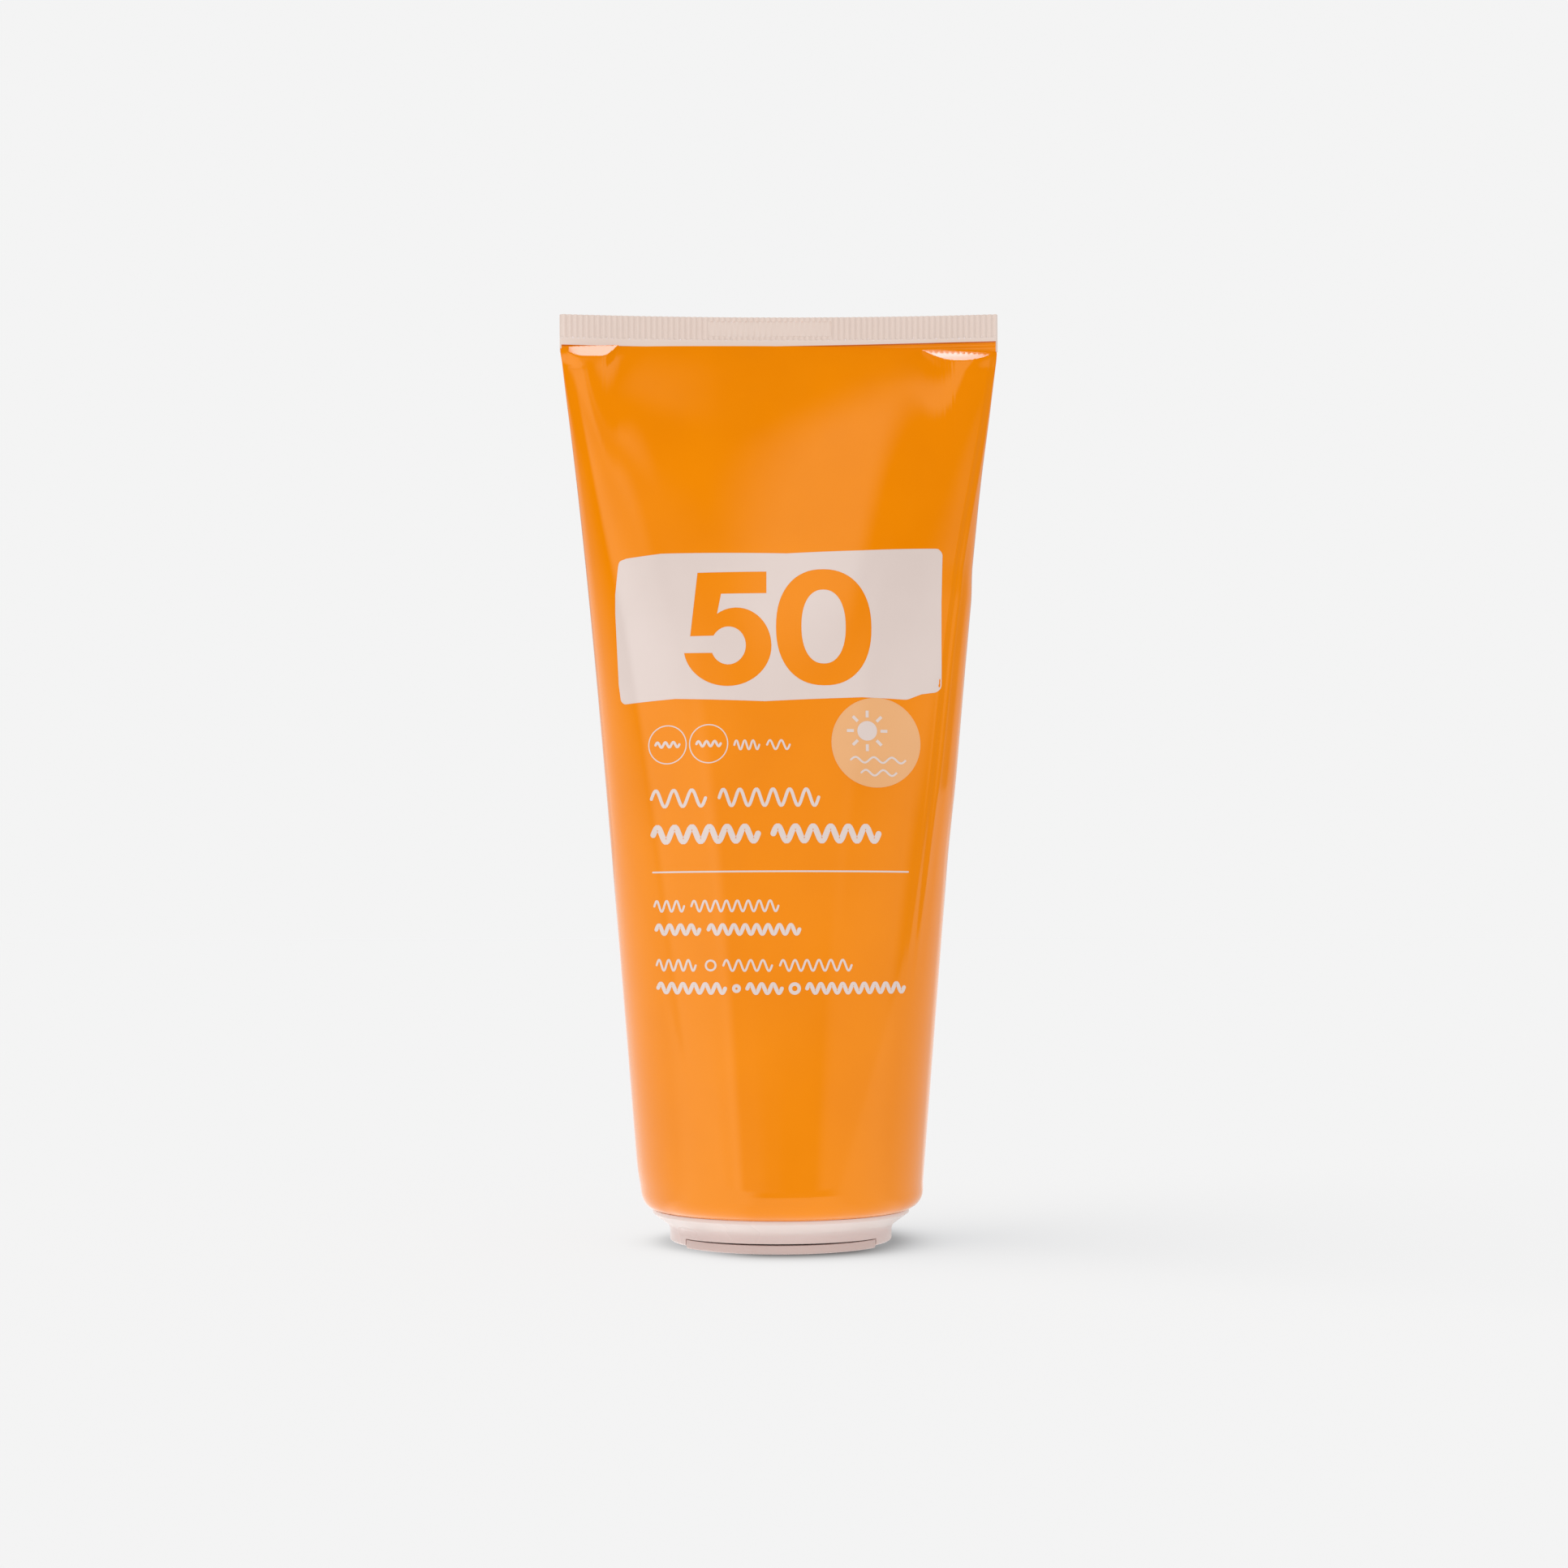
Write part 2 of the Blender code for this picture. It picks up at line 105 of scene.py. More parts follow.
# Ribs of the seal, and its printed foot
rib_pitch = 1.0 * MM
rib_shift = 0.25 * MM
rib_power = 0.8
rib_crest = 0.16 * MM
rib_height = 0.24 * MM
rib_foot = 1.0 * MM
valley_ramp = 0.29 * MM
seal_columns = 1241
seal_end = 0.35 * MM
band_skirt = 1.4 * MM
band_tuck = 0.12 * MM
plate_centre = -1.6 * MM
plate_half_width = 10.9 * MM
plate_low = 1.75 * MM
plate_high = 4.45 * MM
plate_level = 0.45
plate_edges = ((plate_low, plate_low + 0.12 * MM, 0.4), (plate_high - 0.1 * MM, plate_high, 0))
plate_waves = ((0.12 * MM, 4.1 * MM, 0), (0.06 * MM, 1.7 * MM, 1))
print_edge_left = -0.2 * MM
print_edge_rise = 0.62 * MM
print_edge_span = (-30 * MM, 34 * MM)
# Width of the darker orange strip painted under the print edge: the painted shade of the crease
# there
painted_shade_width = 0.24 * MM

# Rows of the seal: shares of its foot with a groove's depth, and drops from its top with how
# far the edge is drawn in, in millimetres
foot_rows = [(0, 0), (0.35, 0), (0.43, 0.05), (0.5, 0), (0.66, 0), (0.73, 0.05), (0.8, 0),
             (0.88, 0), (1, 0)]
top_rows = [(0.5, 0), (0.2, 0), (0.08, 0.015), (0.02, 0.05), (0.0, 0.11)]

# Creases along the right side: shift across, height and width in millimetres. They follow a
# leaning line with two bows, which are given as far out, height and reach in millimetres.
crease_lines = [(0.0, 0.07, 0.34), (-0.75, -0.07, 0.4), (-1.6, 0.035, 0.3), (1.0, -0.045, 0.55)]
crease_start = (24.7 * MM, 59 * MM)
crease_lean = 0.1325
crease_bows = [(0.9, 150, 22), (-0.8, 112, 26)]
crease_rise = (40 * MM, 70 * MM)
crease_end = (155 * MM, 157.4 * MM)

# How far the right half is gathered lower, how far down from the seal, and over which span
crease_drop = 0.65 * MM
crease_reach = 8.0 * MM
crease_span = (-4 * MM, 24 * MM)

# A fuller right side between two heights, and a dent in the left of the shoulder
side_fullness = 0.36 * MM
side_rise = (66 * MM, 84 * MM)
side_end = (112 * MM, 119 * MM)
dent_depth = 0.5 * MM
dent_place = (8.0 * MM, 3.2 * MM)

# Corner bulges: outer edge, full depth from and to, inner edge and depth, in millimetres
corner_bulges = [(-39.3, -34.0, -31.0, -28.0, 2.8), (39.4, 32.6, 31.2, 25.2, 2.6)]
corner_slope = 0.82
corner_narrowing = 2.7
corner_blend = 2.5 * MM
corner_fade = 10 * MM
corner_tail = 36 * MM
corner_tail_share = 0.2
ragged_height = 0.1 * MM
ragged_pitches = (0.47 * MM, 0.29 * MM)
ragged_end = 0.5 * MM
ragged_from = 0.3 * MM

# Cap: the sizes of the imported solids, with a slightly wider skirt and a closer lip
clearance = 0.3 * MM
skirt_radius = flare_radius - 3.1 * MM
skirt_wall = 1.3 * MM
skirt_edge = 0.25 * MM
flare_fillet = 1.7 * MM
flare_angle = math.radians(54)
flare_land = 0.8 * MM
flare_lip = 0.3 * MM
flare_corner_rise = 0.11 * MM
seat_gap = 0.02 * MM
pocket_radius = skirt_radius - skirt_wall
deck_bottom = skirt_lift + 1.8 * MM
deck_top = deck_bottom + 1.1 * MM
orifice_radius = 2.4 * MM
nozzle_wall = 1.2 * MM
nozzle_draft = 0.3 * MM
neck_radius = 9.0 * MM
neck_bore = 7.6 * MM
socket_radius = neck_radius + 0.8 * MM
socket_wall = 1.3 * MM
socket_lip = 0.8 * MM
seal_ring_wall = 0.9 * MM
seal_ring_height = 1.7 * MM
stiffener_count = 8
stiffener_thickness = 0.9 * MM
stiffener_height = 1.5 * MM
lid_radius = pocket_radius - clearance
lid_plate = 1.2 * MM
lid_rim_height = 1.5 * MM
lid_rim_width = 1.1 * MM
lid_edge = 0.25 * MM
lip_half_angle = math.radians(56.5)
stand_ring_width = 3.6 * MM
stand_dish = 0.3 * MM
seat_ring_inset = 2.0 * MM
seat_ring_width = 0.8 * MM
plug_top = deck_top + 0.6 * MM
plug_chamfer = 0.4 * MM
lip_gap = 0.15 * MM
notch_top = lid_rim_height + lip_gap
scoop_half_width = 15.0 * MM
scoop_rise = 0.14 * MM
scoop_steps = 41
hinge_half_width = strap_high.x
hinge_relief = 3.4 * MM
hinge_outer_y = film_high.y
strip_thickness = 0.4 * MM
strip_neck = 0.2 * MM
strip_neck_height = 0.4 * MM
strip_height = film_high.z - film_low.z
strip_rows = 45
strip_columns = 9
hinge_face_y = hinge_outer_y - strip_thickness - clearance
cap_steps = 240
overrun = 2.0 * MM
outside = skirt_radius + overrun
lip_side = -math.pi / 2
edge_round = 0.12 * MM
longest_cut = 0.45
nearly_straight = -0.93

# Camera, from the photograph's 1932 pixels
frame_pixels = 1932
eye_height = 54.5 * MM
eye_distance = 440 * MM
focal_pixels = 3072.1
eye_pixel_y = 1148
middle_pixel_x = 961.2
camera_roll = math.radians(0.15)
sensor_width = 36
clip_range = (0.01, 60)

# Studio: levels of light. The floor throws light up on the tube, with less at its right over this
# turn in degrees, and loses this share of it in the shadow of contact.
backdrop_level = 0.904
even_light = 0.89
white = (1, 1, 1, 1)
floor_size = 20
floor_paint = (0.08, 0.075, 0.07)
floor_bounce = 1.2
floor_bounce_right = 0.88
bounce_turn = (10, 80)
bounce_shade = 0.35

# Suns: strength, and the direction that the light comes from. The last lights the floor alone.
suns = [("key_sun", 0.35, (-0.08, -0.37, 0.93)), ("floor_sun", 6.4, (-1.0, -0.12, 1.35))]
sun_spread = 60

# The shadow of contact round the lid, painted into the floor's own glow
contact_radius = 19.5 * MM
contact_reach = 5.2 * MM
contact_power = 1.5
contact_depth = 0.84

# At both sides it is weaker by this depth, and at the left it is shorter too. It changes between
# these shares of the way across.
contact_left_lighter = 0.5
contact_left_shorter = 1.3 * MM
contact_left_turn = (-0.09, -0.75)
contact_right_lighter = 0.26
contact_right_turn = (0.56, 0.96)

# Levels that only the gloss shows: the studio between its soft boxes, the floor, and a brighter
# field of the floor before the tube, which fades with the distance and has edges in azimuth
studio_dark = 0.0
floor_dark = 0.22
near_floor = 1.35
near_fade = (0.177, 0.153)
near_window = (-20, 42, 9)

# Brighter windows on the floor: azimuth from, to, brightness, softness
floor_windows = [
    (-200, -145, 0.8, 8),
    (-145, -78, 0.95, 8),
    (-78, -20, 1.5, 8),
    (42, 80, 0.95, 10),
    (80, 145, 0.62, 10),
    (145, 200, 0.8, 8),
]

# Soft boxes: azimuth from, to, elevation from, to, brightness, softness
soft_boxes = [
    (-70, -31, -8, 15.8, 1.5, 4),
    (-145, -72, -8, 5.5, 1.1, 4),
    (-200, -145, -8, 5, 0.7, 4),
    (145, 200, -8, 5, 0.7, 4),
    (-72, -44, -8, 3.5, 0.3, 4),
    (-34, 33, 7.5, 19.5, 0.6, 3.5),
    (-34, 33, -8, 7.5, 0.18, 4),
    (-35, -13, -8, 6, 0.36, 6),
    (-34, 0, -8, 6, 0.18, 5),
    (31, 77, -8, 11.5, 0.8, 6),
    (77, 145, -8, 10, 0.15, 5),
    (116, 145, -8, 4.5, 0.45, 5),
    (-68, -43, 18, 30, 1.35, 4),
    (-68, -33, 28, 40, 1.15, 4),
    (-44, -18, 16, 27, 0.25, 5),
    (-44, -16, 50, 84, 0.35, 8),
    (-200, -116, 6, 62, 0.8, 10),
    (120, 200, 6, 62, 0.8, 10),
    (-200, 200, 82, 100, 8.2, 1.2),
    (-200, -120, 62, 83, 6.5, 1.2),
    (120, 200, 62, 83, 6.5, 1.2),
]

# The light from overhead is cooler than the rest, above this turn in elevation
overhead_turn = (67, 73)
overhead_colour = (0.8, 0.93, 1.4)

# A tall soft box that leans to the right: each edge fades in between two angles in degrees
lobe_level = 1.2
lobe_lean = 0.68
lobe_left = (-39.5, -17.5)
lobe_right = (27.8, 20.8)
lobe_foot = (18, 23)
lobe_head = (78, 42)


def add(name, data):
    made = bpy.data.objects.new(name, data)
    bpy.context.collection.objects.link(made)
    return made


def smooth(piece, angle=35):
    piece.data.shade_smooth()
    piece.data.set_sharp_from_angle(angle=math.radians(angle))


def mesh_piece(name, points, faces, material, body="tube"):
    """A smooth piece, riding on a body."""
    mesh = bpy.data.meshes.new(name)
    mesh.from_pydata([tuple(map(float, point)) for point in points], [], faces)
    mesh.validate()
    piece = add(name, mesh)
    mesh.materials.append(material)
    smooth(piece)
    if body:
        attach(piece, body)
    return piece


# Materials
noise_middle = (0.3, 0.7)
mottle_scale = 60
weave_scale = 2600
streak_scale = 240
cloud_scale = 90
grain_scale = 5200


def new_material(name):
    material = bpy.data.materials.new(name)
    material.use_nodes = True
    tree = material.node_tree
    return material, tree, tree.nodes["Principled BSDF"]


def fill(tree, made, inputs):
    """Links the sockets among a node's inputs, and sets the plain values."""
    for key, value in inputs.items():
        if isinstance(value, bpy.types.NodeSocket):
            tree.links.new(value, made.inputs[key])
        else:
            made.inputs[key].default_value = value


def node(tree, kind, inputs, **settings):
    made = tree.nodes.new(kind)
    for key, value in settings.items():
        setattr(made, key, value)
    fill(tree, made, inputs)
    return made


def calc(tree, operation, *values):
    return node(tree, "ShaderNodeMath", dict(enumerate(values)), operation=operation).outputs[0]


def ease(tree, value, start, end, first=0.0, last=1.0):
    """A smooth ramp from one level to another."""
    return node(tree, "ShaderNodeMapRange", {
        "Value": value, "From Min": start, "From Max": end, "To Min": first, "To Max": last,
    }, interpolation_type="SMOOTHSTEP").outputs["Result"]


def coordinates(tree, kind="Object"):
    return node(tree, "ShaderNodeTexCoord", {}).outputs[kind]


def axes(tree, place):
    return node(tree, "ShaderNodeSeparateXYZ", {"Vector": place}).outputs


def between_colours(tree, share, first, last):
    inputs = {0: share, 6: first, 7: last}
    return node(tree, "ShaderNodeMix", inputs, data_type="RGBA").outputs[2]


def between_shaders(tree, share, first, last):
    return node(tree, "ShaderNodeMixShader", {"Fac": share, 1: first, 2: last}).outputs["Shader"]


def ramp(tree, value, first, last):
    """From one linear colour or grey to another, over the middle of a noise's range."""
    made = node(tree, "ShaderNodeValToRGB", {"Fac": value})
    for element, place, colour in zip(made.color_ramp.elements, noise_middle, (first, last)):
        element.position = place
        rgb = colour if isinstance(colour, tuple) else (colour,) * 3
        element.color = (*rgb, 1)
    return made.outputs["Color"]


def noise(tree, place, scale, detail=2, stretch=(1, 1, 1)):
    mapped = node(tree, "ShaderNodeMapping", {"Vector": place, "Scale": stretch})
    inputs = {"Vector": mapped.outputs["Vector"], "Scale": scale, "Detail": detail}
    return node(tree, "ShaderNodeTexNoise", inputs).outputs["Fac"]


def bump(tree, height, strength, distance, **under):
    inputs = {"Height": height, "Strength": strength, "Distance": distance, **under}
    return node(tree, "ShaderNodeBump", inputs).outputs["Normal"]


def film_plastic(name, colours, roughness=0.06, grain=0.12, tint=(1, 1, 1)):
    """Glossy polyethylene film: faint mottling and a fine drawn grain."""
    material, tree, shader = new_material(name)
    place = coordinates(tree)
    mottle = noise(tree, place, mottle_scale, 3)
    weave = noise(tree, place, weave_scale, 1, (1, 1, 0.35))
    streaks = noise(tree, place, streak_scale, 2, (1, 1, 0.2))
    normal = bump(tree, weave, grain, 0.006 * MM)
    fill(tree, shader, {
        "Base Color": ramp(tree, mottle, *colours),
        "Normal": bump(tree, streaks, grain, 0.03 * MM, Normal=normal),
        "Roughness": ramp(tree, streaks, roughness * 0.8, roughness * 1.2),
        "IOR": 1.5,
        "Specular Tint": (*tint, 1),
    })
    return material


def moulded_plastic(name, colours, roughness, grain=0.3, thin=None):
    """Satin injection moulded plastic with a fine grain. Given thin, it is painted lighter between
    two heights: a painted highlight.
    """
    material, tree, shader = new_material(name)
    place = coordinates(tree)
    cloud = noise(tree, place, cloud_scale)
    colour = ramp(tree, cloud, *colours)
    # Painted light: a lighter colour between two heights, standing in for the flare's highlight
    if thin:
        low, high, painted_lighter_colour = thin
        share = ease(tree, axes(tree, place)["Z"], low, high)
        colour = between_colours(tree, share, colour, (*painted_lighter_colour, 1))
    fill(tree, shader, {
        "Base Color": colour,
        "Normal": bump(tree, noise(tree, place, grain_scale), grain, 0.008 * MM),
        "Roughness": ramp(tree, cloud, roughness - 0.05, roughness + 0.05),
        "IOR": 1.49,
        "Specular IOR Level": 0.28,
        "Subsurface Weight": 0.15,
        "Subsurface Radius": (1.0 * MM, 0.7 * MM, 0.6 * MM),
    })
    return material


golden = (1.0, 0.87, 0.52)
orange = film_plastic("orange_film", [(0.84, 0.232, 0.0008), (0.88, 0.25, 0.0014)], tint=golden)
# A darker orange that paints the shade of the crease under the seal's band
painted_seam_shade = film_plastic("seam_painted_shade", [(0.55, 0.12, 0.001), (0.60, 0.14, 0.001)], 0.2)
pale_film = film_plastic("unprinted_film", [(0.70, 0.588, 0.543), (0.73, 0.617, 0.572)])
peach = film_plastic("peach_ink", [(0.78, 0.40, 0.17), (0.82, 0.43, 0.19)])
seal_pale = film_plastic("seal_film", [(0.735, 0.605, 0.535), (0.765, 0.63, 0.56)], 0.2)
# The flare is painted lighter from the first height up to the second: a painted highlight from the
# floor's light
flare_painted_light = (cap_top - 2.6 * MM, cap_top - 1.7 * MM, (0.79, 0.665, 0.62))
pale_cap = moulded_plastic("cap_plastic", [(0.70, 0.545, 0.505), (0.715, 0.56, 0.52)], 0.3,
                           thin=flare_painted_light)
# The lid is the cap's plastic painted darker: painted shade for its place low by the floor
lid_pale_shaded = moulded_plastic("lid_plastic_painted_shade", [(0.635, 0.48, 0.44), (0.65, 0.493, 0.453)], 0.34)
natural = moulded_plastic("head_plastic", [(0.76, 0.74, 0.70), (0.80, 0.78, 0.74)], 0.45)
cream_look = moulded_plastic("cream_look", [(0.85, 0.82, 0.74), (0.88, 0.85, 0.78)], 0.3)


# Sleeve


def ellipse_girth(half_width, half_depth):
    """The girth of an ellipse, from a close series."""
    both = half_width + half_depth
    ratio = ((half_width - half_depth) / both) ** 2
    return math.pi * both * (1 + 3 * ratio / (10 + np.sqrt(4 - 3 * ratio)))


def section(share):
    """Half width and half depth of the sleeve at shares of the way up to the seal."""
    wide = linear_flare_share * share + (1 - linear_flare_share) * share**late_flare_power
    top_half_width = crimp_half_width - seal_step
    half_width = sleeve_radius + (top_half_width - sleeve_radius) * wide
    low, high = np.zeros_like(share), np.full_like(share, sleeve_radius)
    for _ in range(halvings):
        middle = (low + high) / 2
        short = ellipse_girth(half_width, middle) < 2 * math.pi * sleeve_radius
        low, high = np.where(short, middle, low), np.where(short, high, middle)
    wedge = seal_thickness / 2 - seal_step
    wedge = wedge + (1 - share) * body_length * math.tan(pinch_angle)
    power = soft_minimum_power
    half_depth = (high**-power + wedge**-power) ** (-1 / power)
    return half_width, half_depth


def way_up(z):
    """Shares of the way up to the seal."""
    return np.clip((z - taper_start) / body_length, 0, 1)


def dipped(x, z):
    """Heights once the seal's middle has sunk between its ends, and its right end a little."""
    reach = way_up(z) ** dip_power
    across = x / crimp_half_width
    return z - reach * (seal_dip * (1 - across**2) + seal_tilt * (1 + across))


def step(value, low, high):
    """A smooth step from 0 at low to 1 at high."""
    share = np.clip((value - low) / (high - low), 0, 1)
    return share * share * (3 - 2 * share)


def seam_drop(x):
    return crease_drop * step(x, *crease_span)


def creased(x, z):
    """The film's heights, with its right half gathered a little lower under the seal."""
    return dipped(x, z) - seam_drop(x) * step(z, seal_base - crease_reach, seal_base)


def bell(value, centre, width):
    return np.exp(-(((value - centre) / width) ** 2))


def corner_fullness(x, z):
    """The film bulges under the seal's ends: steeply down to a ragged line, then it fades out."""
    below = np.maximum(seal_base - seam_drop(x) - dipped(x, z), 0)
    ragged = ragged_height * (sum(np.abs((x / pitch) % 2 - 1) for pitch in ragged_pitches) - 1)
    flat_share = np.sqrt(np.maximum(1 - (x / crimp_half_width) ** 2, 0))
    steeper = corner_slope - math.tan(pinch_angle) * flat_share
    lift = np.zeros_like(x)
    for outer, full_from, full_to, inner, deep in corner_bulges:
        to_outer = (x / MM - outer) / (full_from - outer)
        to_inner = (inner - x / MM) / (inner - full_to)
        whole = np.clip(np.minimum(to_outer, to_inner), 0, 1)
        whole = deep * MM * np.sin(whole * math.pi / 2)
        rag = ragged * (to_inner < 1) * (whole > ragged_from)
        past = np.maximum(below - whole - rag, 0)
        near = np.minimum(below, whole + rag) - rag * (1 - np.exp(-past / ragged_end))
        middle, spread = (full_from + full_to) / 2, abs(inner - outer) / corner_narrowing
        broad = deep * MM * bell(x, middle * MM, spread * MM)
        blended = near + (broad - near) * step(past, 0, corner_blend)
        tail = corner_tail_share * np.exp(-past / corner_tail)
        fade = (1 - corner_tail_share) * np.exp(-past / corner_fade) + tail
        lift = lift + steeper * blended * fade * step(flat_share, 0, 0.3)
    return lift


def during(z, start, end):
    """1 between two heights: each of them is the pair over which it comes or goes."""
    return step(z, *start) * (1 - step(z, *end))


def relief(x, z, angle):
    """How far the film stands out from the plain loft, as arrays."""
    front, side = (np.sin(angle) < 0).astype(float), np.cos(angle)
    line = crease_start[0] + (z - crease_start[1]) * crease_lean
    for bow, centre, width in crease_bows:
        line = line + bow * MM * bell(z, centre * MM, width * MM)
    shown = front * during(z, crease_rise, crease_end)
    lift = corner_fullness(x, z) * front
    for shift, rise, width in crease_lines:
        lift = lift + shown * rise * MM * bell(x - line, shift * MM, width * MM)
    lift = lift + side_fullness * step(side, 0.75, 1) * during(z, side_rise, side_end)
    return lift - dent_depth * step(-side, 0.6, 1) * bell(z, *dent_place)


def on_sleeve(angle, z, lift=0.0):
    """Points of the sleeve at angles round it and heights, lifted off the film."""
    half_width, half_depth = section(way_up(z))
    x, y = half_width * np.cos(angle), half_depth * np.sin(angle)
    out_x, out_y = np.cos(angle) / half_width, np.sin(angle) / half_depth
    size = np.hypot(out_x, out_y)
    lift = lift + relief(x, z, angle)
    x, y = x + lift * out_x / size, y + lift * out_y / size
    return np.stack([x, y, creased(x, z)], -1)


def sleeve_ring(angle, share, lift=0.0):
    """A ring of the sleeve at a share of the way up to the seal."""
    return on_sleeve(angle, np.full(len(angle), taper_start + share * body_length), lift)


def rings_mesh(name, rings, material, body="tube"):
    """A closed skin over rings of as many points each, with a face over the first and last."""
    grid = np.arange(len(rings) * len(rings[0])).reshape(len(rings), -1)
    ahead = np.roll(grid, -1, 1)
    walls = np.stack([grid[:-1], ahead[:-1], ahead[1:], grid[1:]], -1).reshape(-1, 4)
    faces = walls.tolist() + [grid[0, ::-1].tolist(), grid[-1].tolist()]
    return mesh_piece(name, np.concatenate(rings), faces, material, body)


def shoulder_rings(angle, radius, steps):
    """Rings round the shoulder's arc, from its lowest point up to the straight wall."""
    rings = []
    centre_r = sleeve_radius - shoulder_radius
    centre_z = sleeve_bottom + shoulder_radius
    for turn in np.linspace(-math.pi / 2, 0, steps):
        ring_radius = centre_r + radius * math.cos(turn)
        z = np.full(len(angle), centre_z + radius * math.sin(turn))
        lift = relief(ring_radius * np.cos(angle), z, angle) * math.cos(turn)
        ring = (ring_radius + lift)[:, None] * np.stack([np.cos(angle), np.sin(angle)], -1)
        rings.append(np.column_stack([ring, z]))
    return rings


def make_sleeve():
    """The wall of the tube: up its outside from the shoulder to the seal, and down its inside."""
    columns, turns = zip(*sleeve_columns)
    angle = math.pi * np.interp(np.arange(columns[-1]), columns, turns)
    outer = shoulder_rings(angle, shoulder_radius, shoulder_rows[0])
    inner = shoulder_rings(angle, shoulder_radius - sleeve_wall, shoulder_rows[1])
    for way in np.linspace(0, 1, outer_rows):
        share = 1 - (1 - way) ** row_crowding
        outer.append(sleeve_ring(angle, share))
    for share in np.linspace(0, inner_end, inner_rows):
        inner.append(sleeve_ring(angle, share, -sleeve_wall))
    sleeve = rings_mesh("sleeve_film", inner[::-1] + outer, orange)
    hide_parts("tube_sleeve")


def print_edge(x):
    """How far above the seal's base the pale, unprinted film starts."""
    return print_edge_left + print_edge_rise * step(x, *print_edge_span)


def seal_rows(xs):
    """Levels above the seal's base, each with how far it stands out of the seal's faces."""
    ribs = (0.5 + 0.5 * np.cos(2 * math.pi * (xs - rib_shift) / rib_pitch)) ** rib_power
    in_plate = (np.abs(xs - plate_centre) < plate_half_width).astype(float)
    wavy = sum(swing * np.sin(xs / reach + phase) for swing, reach, phase in plate_waves)
    valley = rib_crest - rib_height
    crests = valley + rib_height * ribs
    rows = []
    for share, groove in foot_rows:
        tuck = rib_crest * step(share, 0.9, 1) - groove * MM - band_tuck * (1 - share)
        rows.append((-band_skirt + share * (print_edge(xs) + band_skirt), tuck))
    rows += [(0.7 * rib_foot, rib_crest), (0.97 * rib_foot, rib_crest)]
    for share in (0.15, 0.4, 0.7, 0.9, 1.0):
        rows.append((rib_foot + share * valley_ramp, rib_crest * (1 - share) + crests * share))
    rows += [(1.4 * rib_foot, crests), (1.6 * rib_foot, crests)]
    for low, high, waviness in plate_edges:
        for share in (0, 0.5, 1):
            flat = in_plate * (share if waviness else 1 - share)
            push = valley + rib_height * (ribs * (1 - flat) + plate_level * flat)
            rows.append((low + share * (high - low) + wavy * waviness * (1 - share), push))
    return rows + [(seal_height - drop * MM, crests - pull * MM) for drop, pull in top_rows]


def make_seal():
    """The welded band: both faces run in step over upright ribs, with a smooth plate in them."""
    half = seal_thickness / 2
    span = crimp_half_width - seal_end
    xs = np.linspace(-span, span, seal_columns)
    rings = []
    for level, push in seal_rows(xs):
        z, push = seal_base + level + xs * 0, push + xs * 0
        front = np.column_stack([xs, -half - push, z])
        back = np.column_stack([xs, half - push, z])[::-1]
        right, left = [[crimp_half_width, 0, z[-1]]], [[-crimp_half_width, 0, z[0]]]
        ring = np.concatenate([front, right, back, left])
        ring[:, 2] = dipped(ring[:, 0], ring[:, 2])
        rings.append(ring)
    seal = rings_mesh("seal_band", rings, seal_pale)
    seal.data.materials.append(orange)
    seal.data.materials.append(painted_seam_shade)
    for face in seal.data.polygons:
        x, y, z = face.center
        under = dipped(x, seal_base + print_edge(x)) - z
        printed = int(under > 0 and abs(x) < span)
        # Faces just under the print edge get the painted crease shade
        face.material_index = 2 if printed and under < painted_shade_width else printed


# Print: thin skins of ink that follow the film, drawn in millimetres
print_scale = 0.9923
ink_step = 0.5
ink_grid_stretch = 1.6
badge_place = (16.6, 86.9)
badge_radius = 7.75
badge_rays = 8
ring_radius = 3.38
small_weight = 0.34
print_rows = {
    "aside": (86.4, 1.9, small_weight, [(-7.9, -3.3), (-2.3, 1.9)]),
    "title": (77.4, 3.4, 0.55, [(-22.4, -12.4), (-10.6, 6.9)]),
    "title_bold": (71.2, 3.5, 1.0, [(-22.3, -3.2), (-1.6, 17.4)]),
    "claim": (58.9, 2.2, 0.36, [(-21.8, -16.2), (-15.3, -0.1)]),
    "claim_bold": (54.9, 2.2, 0.66, [(-21.6, -13.4), (-12.5, 3.6)]),
    "use": (48.8, 2.2, 0.36, [(-21.4, -14.2), (-9.8, -1.2), (-0.2, 12.3)]),
    "use_bold": (44.9, 2.2, 0.66, [(-21.3, -9.0), (-5.9, 0.6), (4.2, 21.6)]),
}
print_dots = {
    "dot_use": (-11.8, 48.8, 1.0, small_weight),
    "dot_use_bold_1": (-7.4, 44.9, 0.75, 0.55),
    "dot_use_bold_2": (2.45, 44.9, 1.05, 0.6),
}


def ellipse_arc(centre, radii, start, end, count=24):
    turns = np.radians(np.linspace(start, end, count))
    return [
        (centre[0] + radii[0] * math.cos(turn), centre[1] + radii[1] * math.sin(turn))
        for turn in turns
    ]


def rounded(centre, half_size, radius, count=8):
    (x, z), (half_x, half_z) = centre, half_size
    points = []
    for side_x, side_z, start in ((1, 1, 0), (-1, 1, 90), (-1, -1, 180), (1, -1, 270)):
        corner = x + side_x * (half_x - radius), z + side_z * (half_z - radius)
        points += ellipse_arc(corner, (radius, radius), start, start + 90, count)
    return points


def inside(points, outlines):
    """Whether points lie within an odd number of closed outlines."""
    odd = np.zeros(len(points), bool)
    for outline in outlines:
        corners = np.array(outline)
        for start, end in zip(corners, np.roll(corners, -1, 0)):
            across = (start[1] > points[:, 1]) != (end[1] > points[:, 1])
            if not across.any():
                continue
            place = start[0] + (points[:, 1] - start[1]) * (end[0] - start[0]) / (end[1] - start[1])
            odd ^= across & (points[:, 0] < place)
    return odd


